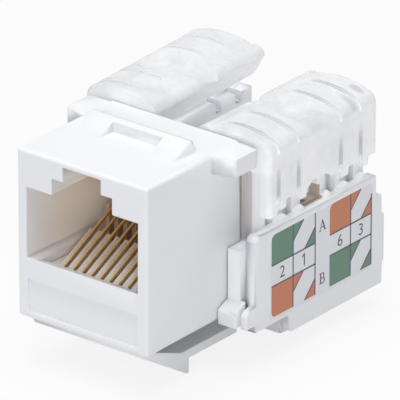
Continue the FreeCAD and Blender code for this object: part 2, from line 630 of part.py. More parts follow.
def cut_termination_block(body):
    """Hollow the block for the board and cut the pockets of the punch-down contacts."""
    side = "board_width / 2 + 0.1"
    room = box_loop(f"-({side})", "board_bottom - 0.1", side, "cavity_top")
    pocket(body, draw(body, "XZ", "board_room", [room], "board_step - 0.1"), "board_back - board_step + 0.2")
    tongue = box_loop("-board_tongue_width / 2 - 0.1", "board_bottom - 0.1", "board_tongue_width / 2 + 0.1",
                      "cavity_top")
    pocket(body, draw(body, "XZ", "tongue_way", [tongue], "block_front - 0.1"),
           "board_step - block_front + 0.2")
    hatch = box_loop(f"-({side})", "cover_front + cover_wall", side, "board_back + 0.1")
    pocket(body, draw(body, "XY", "hatch", [hatch]), "board_bottom", forward=True)
    reach_x = "fork_thickness / 2 + fork_clearance"
    reach_y = "fork_width / 2 + fork_clearance"
    wells = [box_loop(f"fork_x - ({reach_x})", f"{slot_y(index)} - ({reach_y})",
                      f"fork_x + ({reach_x})", f"{slot_y(index)} + ({reach_y})")
             for index in range(SLOT_COUNT)]
    wells_sketch = draw(body, "XY", "fork_wells", mirrored(wells), "cavity_top - 0.1")
    pocket(body, wells_sketch, "post_top", forward=True)


def make_fork(index):
    """One punch-down contact: two tines with a wire gap over a leg that stands on the board."""
    side = 1 if index < SLOT_COUNT else -1
    body = new_body(f"idc_contact_{index + 1}")
    y = slot_y(index % SLOT_COUNT)
    board_top = "board_bottom + board_thickness"
    profile = [(f"{y} - fork_leg_width / 2", board_top), (f"{y} + fork_leg_width / 2", board_top),
               (f"{y} + fork_leg_width / 2", "fork_shoulder"), (f"{y} + fork_width / 2", "fork_shoulder"),
               (f"{y} + fork_width / 2", "fork_top - 0.3"), (f"{y} + fork_width / 2 - 0.2", "fork_top"),
               (f"{y} + fork_slot / 2 + 0.2", "fork_top"), (f"{y} + fork_slot / 2", "fork_top - 0.5"),
               (f"{y} + fork_slot / 2", "fork_top - fork_slot_depth"),
               (f"{y} - fork_slot / 2", "fork_top - fork_slot_depth"),
               (f"{y} - fork_slot / 2", "fork_top - 0.5"), (f"{y} - fork_slot / 2 - 0.2", "fork_top"),
               (f"{y} - fork_width / 2 + 0.2", "fork_top"), (f"{y} - fork_width / 2", "fork_top - 0.3"),
               (f"{y} - fork_width / 2", "fork_shoulder"), (f"{y} - fork_leg_width / 2", "fork_shoulder")]
    start = f"{side} * fork_x - fork_thickness / 2"
    pad(body, draw(body, "YZ", f"fork_profile_{index + 1}", [profile], start), "fork_thickness")


def make_base_cover():
    """Tray that closes the block from below and carries the board on two ribs."""
    body = new_body("base_cover")
    half, back = "cover_width / 2", "block_back - 0.1"
    plan = box_loop(f"-{half}", "cover_front", half, back)
    pad(body, draw(body, "XY", "cover_plan", [plan], "cover_bottom"), "0 - cover_bottom - 0.02")
    round_edges(body, "housing_edge_radius", lambda edge: is_along(edge, "z"))
    inside = box_loop(f"-{half} + cover_wall", "cover_front + cover_wall", f"{half} - cover_wall",
                      f"{back} - cover_wall")
    pocket(body, draw(body, "XY", "cover_inside", [inside], "cover_bottom + cover_wall"),
           "0 - cover_bottom", forward=True)
    rib = box_loop("board_width / 4 - cover_rib", "cover_front + cover_wall + 0.1", "board_width / 4",
                   "board_back")
    pad(body, draw(body, "XY", "board_ribs", mirrored([rib]), "cover_bottom + cover_wall - 0.1"),
        "board_bottom - cover_bottom - cover_wall + 0.1")


def make_cap(side_name, side):
    """Clear cap over one tower: crowned roof, outer wall, skirt, ribs and finger scoop."""
    body = new_body(f"cap_{side_name}")

    def sided(loop):
        swap = {"left": "right", "right": "left"}
        return [(f"{side} * ({corner[0]})", corner[1]) +
                ((corner[2], corner[3] if side > 0 else swap[corner[3]]) if len(corner) > 2 else ())
                for corner in loop]

    if side < 0:
        turn = "left_cap_tilt * 1 deg"
        body.Placement.Rotation = FreeCAD.Rotation(V(1, 0, 0), number("left_cap_tilt"))
        body.setExpression("Placement.Rotation.Angle", bound(turn))
        body.setExpression("Placement.Base.y", bound(f"cap_front * (1 - cos({turn})) + "
                                                     f"cap_leg_bottom * sin({turn})"))
        body.setExpression("Placement.Base.z", bound(f"left_cap_lift - axis_height + cap_leg_bottom * "
                                                     f"(1 - cos({turn})) - cap_front * sin({turn})"))
    section = [("plate_outer", "cap_leg_bottom"),
               ("plate_outer", "cap_shoulder_z", "cap_shoulder_radius", "left"),
               ("plate_outer - 0.85", "cap_edge", "cap_roof_radius", "left"),
               ("cap_inner + 1.1", "cap_edge", "0.95", "left"), ("cap_inner", "cap_edge - 0.75"),
               ("cap_skirt_inner", "cap_skirt"), ("cap_skirt_inner + cap_wall", "cap_skirt"),
               ("cap_skirt_inner + cap_wall", "cap_ceiling"), ("plate_outer - cap_wall", "cap_ceiling"),
               ("plate_outer - cap_wall", "cap_leg_bottom")]
    length = "cap_back - cap_front"
    pad(body, draw(body, "XZ", f"cap_section_{side_name}", [sided(section)], "cap_front"), length)

    def end_outline(edge):
        box = edge.BoundBox
        at_end = close_to(box.YMin, "cap_front") or close_to(box.YMin, "cap_back")
        outermost = max(abs(box.XMin), abs(box.XMax))
        innermost = min(abs(box.XMin), abs(box.XMax))
        rising = box.ZLength > 0.1 and close_to(outermost, "plate_outer")
        roof = box.ZMax > number("cap_edge") and innermost > number("cap_inner + 0.9")
        return at_end and box.YLength < 1e-4 and (rising or roof)

    round_edges(body, "cap_corner_radius", end_outline)

    inside = "plate_outer - cap_wall + 0.15"
    front = [("cap_skirt_inner + 0.2", "cap_skirt"), ("plate_outer - cap_leg_width", "cap_skirt"),
             ("plate_outer - cap_leg_width", "cap_leg_bottom"), (inside, "cap_leg_bottom"),
             (inside, "cap_ceiling + 0.1"), ("cap_skirt_inner + 0.2", "cap_ceiling + 0.1")]
    back = box_loop("cap_skirt_inner + 0.2", "cap_skirt", inside, "cap_ceiling + 0.1")
    pad(body, draw(body, "XZ", f"cap_front_{side_name}", [sided(front)], "cap_front"), "cap_end_wall")
    pad(body, draw(body, "XZ", f"cap_back_{side_name}", [sided(back)], "cap_back - cap_end_wall"),
        "cap_end_wall")

    middle = MIDDLE_Y
    deep = [(f"{middle} - 3.2", "cap_crown + 0.4"), (f"{middle} - 0.3", "cap_saddle + 0.4"),
            (f"{middle} + 1.6", "cap_saddle - 0.1"), (f"{middle} + 2.1", "cap_saddle + 0.9"),
            (f"{middle} + 2.6", "cap_crown + 0.4")]
    flat = [(f"{middle} - 3.2", "cap_crown + 0.4"), (f"{middle} - 0.3", "cap_crown + 0.1"),
            (f"{middle} + 1.6", "cap_crown"), (f"{middle} + 2.1", "cap_crown + 0.2"),
            (f"{middle} + 2.6", "cap_crown + 0.4")]
    valley = body.newObject("PartDesign::SubtractiveLoft", f"cap_valley_{side_name}")
    valley.Profile = draw(body, "YZ", f"cap_valley_inner_{side_name}", [deep], f"{side} * (cap_inner - 0.2)")
    valley.Sections = [draw(body, "YZ", f"cap_valley_outer_{side_name}", [flat],
                            f"{side} * (plate_outer - 0.9)")]
    valley.Ruled = True
    doc.recompute()

    dish = body.newObject("PartDesign::SubtractiveSphere", f"cap_dish_{side_name}")
    dish.setExpression("Radius", bound("cap_dish_radius"))
    dish.setExpression("Placement.Base.x", bound(f"{side} * (plate_outer - 2.3)"))
    dish.setExpression("Placement.Base.y", bound(middle))
    dish.setExpression("Placement.Base.z", bound("cap_edge + cap_dish_radius - cap_dish_depth"))
    doc.recompute()

    for index in range(SLOT_COUNT):
        rib = sided(box_loop("cap_skirt_inner + cap_wall - 0.2", "cap_rib_bottom",
                             "plate_outer - cap_wall + 0.1", "cap_ceiling + 0.1"))
        rib_start = f"{slot_y(index)} - cap_rib / 2"
        pad(body, draw(body, "XZ", f"cap_rib_{side_name}_{index + 1}", [rib], rib_start), "cap_rib")
    for index in range(SLOT_COUNT):
        roof_cut = [("cap_groove_start", "cap_crown + 0.3"), ("cap_groove_start", "cap_crown - 0.3"),
                    ("cap_groove_start + 1.2", "cap_crown - 0.75"), ("plate_outer - 1.4", "cap_crown - 1"),
                    ("plate_outer - 0.5", "cap_crown - 1.7"), ("plate_outer + 0.3", "cap_crown - 1.7"),
                    ("plate_outer + 0.3", "cap_crown + 0.3")]
        side_cut = box_loop("plate_outer - cap_groove_depth", "cap_slit_bottom", "plate_outer + 0.3",
                            "cap_slit_top")
        groove_start = f"{slot_y(index)} - cap_groove / 2"
        grooves = draw(body, "XZ", f"cap_grooves_{side_name}_{index + 1}",
                       [sided(roof_cut), sided(side_cut)], groove_start)
        pocket(body, grooves, "cap_groove")

    half = "cap_window_width / 2"
    below = "cap_leg_bottom - 0.1"
    arch = [("cap_front + cap_leg_width", below), ("cap_back + 0.1", below),
            ("cap_back + 0.1", "cap_notch")]
    for index in reversed(range(SLOT_COUNT)):
        root, tip = f"{slot_y(index)} + 1.2", f"{slot_y(index)} + 0.15"
        if index == 1:
            arch += [(f"{middle} + {half}", "cap_notch"), (f"{middle} + {half} - 0.6", "cap_window_top"),
                     (f"{middle} - {half} + 0.6", "cap_window_top"), (f"{middle} - {half}", "cap_notch")]
        arch += [(root, "cap_notch"), (f"{root} - 0.15", "cap_side_bottom"),
                 (f"{tip} + 0.15", "cap_side_bottom"), (tip, "cap_notch")]
    arch.append(("cap_front + cap_leg_width", "cap_notch"))
    start = "plate_outer - cap_wall - 0.1" if side > 0 else "-plate_outer - 0.1"
    pocket(body, draw(body, "YZ", f"cap_window_{side_name}", [arch], start), "cap_wall + 0.2")


def make_label(side_name, side):
    """Colour-code label on the outside of a side plate, with rounded corners."""
    body = new_body(f"label_{side_name}")
    plan = box_loop("label_front", "label_bottom", "label_back", "label_top")
    start = "plate_outer" if side > 0 else "-plate_outer - label_thickness"
    pad(body, draw(body, "YZ", f"label_plan_{side_name}", [plan], start), "label_thickness")
    round_edges(body, "label_corner", lambda edge: is_along(edge, "x"))


def check_and_export():
    """Stop if anything failed, then write one file for each sub-part."""
    doc.recompute()
    for item in doc.Objects:
        if "Invalid" in item.State or "Error" in item.State:
            raise RuntimeError(f"{item.Name} is {item.State}")
    os.makedirs("parts", exist_ok=True)
    for body in subparts:
        shape = body.Shape
        if shape.isNull() or not shape.isValid() or len(shape.Solids) != 1:
            raise RuntimeError(f"{body.Label} is not one valid solid")
        shape.exportStep(f"parts/{body.Label}.step")
        box = shape.BoundBox
        print(f"{body.Label}: {shape.Volume:.1f} mm3, X {box.XMin:.2f} to {box.XMax:.2f}, "
              f"Y {box.YMin:.2f} to {box.YMax:.2f}, Z {box.ZMin:.2f} to {box.ZMax:.2f}")


make_front_housing()
make_latch_lever()
make_contact_carrier()
for wire in range(WIRE_COUNT):
    make_contact_wire(wire)
make_circuit_board()
cut_termination_block(make_termination_block())
for fork in range(2 * SLOT_COUNT):
    make_fork(fork)
make_base_cover()
for name, sign in SIDES.items():
    make_cap(name, sign)
    make_label(name, sign)
check_and_export()
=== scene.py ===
"""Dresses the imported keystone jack: finishes, printed labels, soft moulded edges and studio.

Places count from the centre of the port's mouth: x to the right as seen from in front of the port,
y along the jack towards its rear, and z up.
"""
import logging
import math
from dataclasses import dataclass
from enum import Enum

import bmesh
import bpy
from mathutils import Matrix, Vector
from mathutils.bvhtree import BVHTree


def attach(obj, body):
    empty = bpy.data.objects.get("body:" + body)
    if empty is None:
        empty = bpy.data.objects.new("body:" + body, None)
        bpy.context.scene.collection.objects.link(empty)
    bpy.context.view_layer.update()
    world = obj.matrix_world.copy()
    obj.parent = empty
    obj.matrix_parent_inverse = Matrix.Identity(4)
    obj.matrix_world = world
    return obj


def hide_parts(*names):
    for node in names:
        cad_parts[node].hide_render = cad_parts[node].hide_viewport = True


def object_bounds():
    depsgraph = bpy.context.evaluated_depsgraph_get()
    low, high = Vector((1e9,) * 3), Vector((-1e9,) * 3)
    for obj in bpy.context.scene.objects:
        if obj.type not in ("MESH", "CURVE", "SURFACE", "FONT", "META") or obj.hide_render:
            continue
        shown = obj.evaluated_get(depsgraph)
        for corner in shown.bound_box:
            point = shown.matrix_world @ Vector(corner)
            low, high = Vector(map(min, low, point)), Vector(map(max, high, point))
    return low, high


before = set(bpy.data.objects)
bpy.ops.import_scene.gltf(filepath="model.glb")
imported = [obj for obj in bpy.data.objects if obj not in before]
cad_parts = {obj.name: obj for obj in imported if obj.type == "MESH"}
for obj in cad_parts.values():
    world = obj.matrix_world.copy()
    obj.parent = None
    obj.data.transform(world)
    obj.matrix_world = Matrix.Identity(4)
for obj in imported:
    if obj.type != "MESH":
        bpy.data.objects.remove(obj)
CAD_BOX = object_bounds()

Colour = tuple[float, float, float]
Spot = tuple[float, float]
Span = tuple[float, float]

MM = 0.001
WHITE: Colour = (1.0, 1.0, 1.0)
# Where the slits between a cap's fingers lie along the jack, in millimetres.
CAP_SLITS = (14.55, 17.40, 23.45, 26.30)
# How far the middle of the port lies above the foot of the housing, in millimetres.
PORT_HEIGHT = 9.2
log = logging.getLogger("keystone_jack")


class Side(Enum):
    """Left or right half of the jack, as seen from in front of the port."""

    LEFT = -1
    RIGHT = 1

    @property
    def word(self) -> str:
        """Return the word that the node names use."""
        return self.name.lower()


class Flow:
    """A node's output that can be used in Python arithmetic."""

    def __init__(self, graph: "Graph", socket: bpy.types.NodeSocket) -> None:
        """Keep the socket and the builder of its tree.

        Args:
            graph: Builder of the tree that the socket belongs to.
            socket: Output socket whose value the expressions use.
        """
        self.graph = graph
        self.socket = socket

    def _math(self, operation: str, *values: "Flow | float") -> "Flow":
        """Add a Math node for one step of an expression."""
        return self.graph.node("ShaderNodeMath", {"operation": operation}, *values)

    def __add__(self, other: "Flow | float") -> "Flow":
        """Return self + other."""
        return self._math("ADD", self, other)

    def __radd__(self, other: float) -> "Flow":
        """Return other + self."""
        return self._math("ADD", other, self)

    def __sub__(self, other: "Flow | float") -> "Flow":
        """Return self - other."""
        return self._math("SUBTRACT", self, other)

    def __rsub__(self, other: float) -> "Flow":
        """Return other - self."""
        return self._math("SUBTRACT", other, self)

    def __mul__(self, other: "Flow | float") -> "Flow":
        """Return self * other."""
        return self._math("MULTIPLY", self, other)

    def __rmul__(self, other: float) -> "Flow":
        """Return other * self."""
        return self._math("MULTIPLY", other, self)

    def __gt__(self, other: "Flow | float") -> "Flow":
        """Return 1 where self is above other, and 0 elsewhere."""
        return self._math("GREATER_THAN", self, other)

    def __lt__(self, other: "Flow | float") -> "Flow":
        """Return 1 where self is below other, and 0 elsewhere."""
        return self._math("LESS_THAN", self, other)

    def absolute(self) -> "Flow":
        """Return the value without its sign."""
        return self._math("ABSOLUTE", self)

    def maximum(self, other: "Flow") -> "Flow":
        """Return the larger of self and other."""
        return self._math("MAXIMUM", self, other)

    def clamped(self) -> "Flow":
        """Return the value kept between 0 and 1."""
        return self.graph.node("ShaderNodeClamp", {}, self)

    def within(self, low: float, high: float) -> "Flow":
        """Return 1 between two values, and 0 outside them."""
        return (self > low) * (self < high)

    def near(self, places: tuple[float, ...], reach: float) -> "Flow":
        """Return 1 within reach of one of some places that lie apart, and 0 elsewhere."""
        spots = [self.within(place - reach, place + reach) for place in places]
        return sum(spots[1:], spots[0])

    def rising(self, start: float, rate: float) -> "Flow":
        """Return 0 up to a value, and then a slope up to 1."""
        return ((self - start) * rate).clamped()

    def falling(self, end: float, rate: float) -> "Flow":
        """Return a slope down from 1 that reaches 0 at a value."""
        return ((end - self) * rate).clamped()


class Graph:
    """Builder of one node tree."""

    def __init__(self, tree: bpy.types.NodeTree) -> None:
        """Empty the tree.

        Args:
            tree: Tree that the nodes go into.
        """
        self.tree = tree
        self.tree.nodes.clear()

    def add(self, kind: str, settings: dict[str, object], *values: object,
            **named: object) -> bpy.types.Node:
        """Add a node, set it up and feed its inputs.

        Args:
            kind: Blender's type name of the node.
            settings: Properties of the node, set before its inputs.
            *values: Values or flows for the inputs in their order; None leaves one alone.
            **named: Values or flows for inputs by name, with _ for a space.

        Returns:
            The node.
        """
        made = self.tree.nodes.new(kind)
        for key, value in settings.items():
            setattr(made, key, value)
        pairs = [(made.inputs[index], value) for index, value in enumerate(values) if value is not None]
        pairs += [(made.inputs[key.replace("_", " ")], value) for key, value in named.items()]
        for socket, value in pairs:
            if isinstance(value, Flow):
                self.tree.links.new(value.socket, socket)
            else:
                socket.default_value = (*value, 1.0) if socket.type == "RGBA" else value
        return made

    def node(self, kind: str, settings: dict[str, object], *values: object, output: int | str = 0,
             **named: object) -> Flow:
        """Add a node and return one of its outputs.

        Args:
            kind: Blender's type name of the node.
            settings: Properties of the node.
            *values: Values or flows for the inputs in their order.
            output: Output socket that the returned flow stands for.
            **named: Values or flows for inputs by name.

        Returns:
            The chosen output as a flow.
        """
        return Flow(self, self.add(kind, settings, *values, **named).outputs[output])

    def clear_view(self) -> Flow:
        """Return 1 for rays of the eye, of a mirror or through clear stuff, and 0 for other light."""
        eye, mirror, clear = (self.node("ShaderNodeLightPath", {}, output=ray)
                              for ray in ("Is Camera Ray", "Is Glossy Ray", "Is Transmission Ray"))
        return eye.maximum(mirror).maximum(clear)


class Shader(Graph):
    """Builder of one node material."""

    def __init__(self, name: str) -> None:
        """Start an empty material.

        Args:
            name: Name of the material.
        """
        self.material = bpy.data.materials.new(name)
        self.material.use_nodes = True
        super().__init__(self.material.node_tree)

    def place(self) -> Flow:
        """Return the point on the piece in its own coordinates, in metres."""
        return self.node("ShaderNodeTexCoord", {}, output="Object")

    def axes(self) -> tuple[Flow, Flow, Flow]:
        """Return how far across, along and up the point lies, in millimetres."""
        point = self.place()
        return tuple(self.node("ShaderNodeSeparateXYZ", {}, point, output=axis) * (1 / MM)
                     for axis in ("X", "Y", "Z"))

    def upward(self) -> Flow:
        """Return 1 on a face that looks up, 0 on an upright one and -1 on one that looks down."""
        normal = self.node("ShaderNodeNewGeometry", {}, output="Normal")
        return self.node("ShaderNodeSeparateXYZ", {}, normal, output="Z")

    def noise(self, per_mm: float, detail: float) -> Flow:
        """Return smooth noise around 0.5, with some bumps on a millimetre and some finer layers."""
        return self.node("ShaderNodeTexNoise", {}, Vector=self.place(), Scale=per_mm / MM, Detail=detail)

    def mix(self, amount: Flow, low: Colour | Flow, high: Colour | Flow) -> Flow:
        """Return a colour between two colours.

        Args:
            amount: 0 for the first colour, 1 for the second.
            low: First colour.
            high: Second colour.

        Returns:
            The mixed colour.
        """
        # A Mix node has inputs for numbers and vectors between its factor and its two colours.
        unused = (None,) * 5
        return self.node("ShaderNodeMix", {"data_type": "RGBA"}, amount, *unused, low, high, output=2)

    def bump(self, height: Flow, depth_mm: float) -> Flow:
        """Return a normal disturbed by a height in units of the depth."""
        return self.node("ShaderNodeBump", {}, Strength=1.0, Distance=depth_mm * MM, Height=height,
                         output="Normal")

    def surface(self, **inputs: object) -> bpy.types.Material:
        """Finish the material with one Principled shader, whose inputs are named with _ for a space."""
        return self.finished(self.node("ShaderNodeBsdfPrincipled", {}, **inputs))

    def finished(self, shader: Flow) -> bpy.types.Material:
        """Connect a shader to the material's output and return the material."""
        self.add("ShaderNodeOutputMaterial", {}, Surface=shader)
        return self.material


@dataclass(frozen=True)
class SpeckledFinish:
    """A finish whose colour and roughness vary a little with smooth noise."""

    name: str
    dark: Colour
    light: Colour
    specks_per_mm: float
    detail: float
    roughness: float
    roughness_spread: float
    metallic: float = 0.0

    def material(self) -> bpy.types.Material:
        """Make the finish.

        Returns:
            The node material.
        """
        shader = Shader(self.name)
        speckle = shader.noise(self.specks_per_mm, self.detail)
        return shader.surface(Base_Color=shader.mix(speckle, self.dark, self.light), Metallic=self.metallic,
                              Roughness=self.roughness + speckle * self.roughness_spread)


@dataclass(frozen=True)
class TinnedSpring(SpeckledFinish):
    """Bright tin on the punch-down contacts."""

    name: str = "tinned_spring"
    dark: Colour = (0.55, 0.55, 0.56)
    light: Colour = (0.74, 0.74, 0.75)
    specks_per_mm: float = 1.2
    detail: float = 2.0
    roughness: float = 0.24
    roughness_spread: float = 0.2
    metallic: float = 1.0


@dataclass(frozen=True)
class BoardResin(SpeckledFinish):
    """Green solder mask over glass fibre."""

    name: str = "board_resin"
    dark: Colour = (0.03, 0.12, 0.06)
    light: Colour = (0.05, 0.18, 0.09)
    specks_per_mm: float = 2.0
    detail: float = 2.0
    roughness: float = 0.3
    roughness_spread: float = 0.1


@dataclass(frozen=True)
class LabelFilm(SpeckledFinish):
    """Matt white film of the wiring labels."""

    name: str = "label_film"
    dark: Colour = (0.745, 0.755, 0.805)
    light: Colour = (0.785, 0.795, 0.84)
    specks_per_mm: float = 3.0
    detail: float = 3.0
    roughness: float = 0.5
    roughness_spread: float = 0.1


@dataclass(frozen=True)
class PrintingInk(SpeckledFinish):
    """Matt printing ink of the wiring labels."""

    specks_per_mm: float = 5.0
    detail: float = 3.0
    roughness: float = 0.45
    roughness_spread: float = 0.1


class Ink(Enum):
    """The inks of the wiring labels, as linear colours."""

    GREEN = (0.122, 0.240, 0.172)
    ORANGE = (0.550, 0.198, 0.112)
    RULE = (0.085, 0.085, 0.105)

    @property
    def order(self) -> int:
        """Return the ink's place among the inks of a label."""
        return list(Ink).index(self)

    def material(self) -> bpy.types.Material:
        """Return the finish of the ink, whose specks are 8% lighter and darker than its colour."""
        dark, light = (tuple(level * share for level in self.value) for share in (0.92, 1.08))
        return PrintingInk(f"ink_{self.name.lower()}", dark, light).material()


@dataclass(frozen=True)
class WhiteMoulding:
    """Satin white moulded plastic, with painted warmer shade inside the port and painted brown shade
    where little light gets in.

    Lengths are in millimetres. A nook is a box: its spans away from the middle, along the jack and
    in height.
    """

    name: str = "white_moulding"
    colour: Colour = (0.855, 0.862, 0.88)
    shade: Colour = (0.812, 0.822, 0.862)
    # Painted warmer shade deep inside the port; faces that look up get less of it.
    warm: Colour = (0.95, 0.86, 0.76)
    nook: Colour = (0.43, 0.355, 0.32)
    roughness: float = 0.38
    roughness_spread: float = 0.12
    shine: float = 0.35
    clouds_per_mm: float = 0.12
    grains_per_mm: float = 9.0
    grain_depth: float = 0.0025
    port_half_width: float = 6.3
    port_heights: Span = (-5.2, 6.4)
    port_depths: Span = (0.05, 11.7)
    warm_run: float = 5.0
    floor_lightness: float = 0.8
    window: tuple[Span, Span, Span] = ((8.1, 9.5), (19.3, 21.9), (-1.25, 0.25))
    gap: tuple[Span, Span, Span] = ((6.6, 8.5), (13.1, 14.6), (-4.5, 4.6))
    gap_mouth: float = 8.3
    gap_fade: float = 0.5

    def material(self) -> bpy.types.Material:
        """Make the finish.

        Returns:
            The node material.
        """
        shader = Shader(self.name)
        across, along, height = shader.axes()
        out = across.absolute()
        cloud = shader.noise(self.clouds_per_mm, 3.0)
        grain = shader.noise(self.grains_per_mm, 2.0)
        # Painted warmer shade, growing deeper into the port and weaker on faces that look up.
        inside = ((out < self.port_half_width) * height.within(*self.port_heights)
                  * along.within(*self.port_depths))
        level = 1.0 - shader.upward().clamped() * self.floor_lightness
        depth = along.rising(0.0, 1 / self.warm_run) * level
        window, gap = (out.within(*nook[0]) * along.within(*nook[1]) * height.within(*nook[2])
                       for nook in (self.window, self.gap))
        dim = window + gap * out.falling(self.gap_mouth, self.gap_fade)
        plain = shader.mix(cloud, self.shade, self.colour)
        lit = shader.mix(inside * depth, plain, self.warm)
        return shader.surface(
            Base_Color=shader.mix(dim, lit, self.nook),
            Roughness=self.roughness + (grain - 0.5) * self.roughness_spread,
            Normal=shader.bump(grain, self.grain_depth), Specular_IOR_Level=self.shine)


@dataclass(frozen=True)
class CombMoulding:
    """Pale plastic of the insert between the contact wires, with painted shade that browns it towards its
    rear.

    Lengths are in millimetres.
    """

    name: str = "comb_moulding"
    front: Colour = (0.96, 0.92, 0.91)
    # Colour of the painted shade at the insert's rear, deeper in the port.
    rear: Colour = (0.52, 0.38, 0.25)
    front_end: float = 2.0
    run: float = 6.5
    roughness: float = 0.42
    roughness_spread: float = 0.1
    grains_per_mm: float = 7.0
    grain_depth: float = 0.003

    def material(self) -> bpy.types.Material:
        """Make the finish.

        Returns:
            The node material.
        """
        shader = Shader(self.name)
        _across, along, _height = shader.axes()
        grain = shader.noise(self.grains_per_mm, 2.0)
        # Painted shade: darker and browner from the front end towards the rear.
        depth = along.rising(self.front_end, 1 / self.run)
        return shader.surface(Base_Color=shader.mix(depth, self.front, self.rear),
                              Roughness=self.roughness + grain * self.roughness_spread,
                              Normal=shader.bump(grain, self.grain_depth))


@dataclass(frozen=True)
class GoldPlating:
    """Gold over spring bronze, with a painted highlight on the upper side and at the nose that fades up
    the beam, and painted shade on the flanks.

    Lengths are in millimetres.
    """

    name: str = "gold_plating"
    # Painted highlight at the nose, fading to the beam's colour; painted shade on the flanks.
    nose: Colour = (1.0, 0.90, 0.56)
    beam: Colour = (0.92, 0.56, 0.24)
    flank: Colour = (0.58, 0.32, 0.11)
    nose_end: float = 1.6
    run: float = 5.0
    stains_per_mm: float = 0.9
    stain_share: float = 0.25
    crown_start: float = 0.55
    crown_rate: float = 5.0
    nose_metallic: float = 0.4
    beam_metallic: float = 0.85
    roughness: float = 0.12
    roughness_spread: float = 0.08

    def material(self) -> bpy.types.Material:
        """Make the finish.

        Returns:
            The node material.
        """
        shader = Shader(self.name)
        _across, along, _height = shader.axes()
        stain = shader.noise(self.stains_per_mm, 1.0)
        # Painted highlight fading from the nose up the beam, with an uneven edge from noise.
        nose_to_beam = ((along - self.nose_end) * (1 / self.run) + (stain - 0.5) * self.stain_share).clamped()
        # Painted highlight on faces that look up, painted shade on the flanks.
        top_highlight = shader.upward().rising(self.crown_start, self.crown_rate)
        plated = shader.mix(nose_to_beam, self.nose, self.beam)
        return shader.surface(Base_Color=shader.mix(top_highlight, self.flank, plated),
                              Metallic=self.nose_metallic + nose_to_beam * (self.beam_metallic - self.nose_metallic),
                              Roughness=self.roughness + stain * self.roughness_spread)


@dataclass(frozen=True)
class CapSeat:
    """How a cap sits over its tower: raised, and with its rear end higher than its front.

    Lengths are in millimetres, the slope in rise per length.
    """

    lift: float = 0.0
    slope: float = 0.0
    hinge: float = 13.3


@dataclass(frozen=True)
class Mark:
    """Painted shade where a small hollow in a cap's roof looks darker.

    Lengths are in millimetres; the shade runs from 0 to 1.
    """

    across: float
    along: float
    half_width: float
    half_length: float
    shade: float
    edge: float = 1.5

    def depth(self, across: Flow, along: Flow) -> Flow:
        """Return how dark the mark makes a point.

        Args:
            across: How far across the point lies.
            along: How far along the point lies.

        Returns:
            The darkness, 0 outside the mark.
        """
        sideways = (across - self.across) * (1 / self.half_width)
        lengthways = (along - self.along) * (1 / self.half_length)
        return ((1.0 - sideways * sideways - lengthways * lengthways) * self.edge).clamped() * self.shade


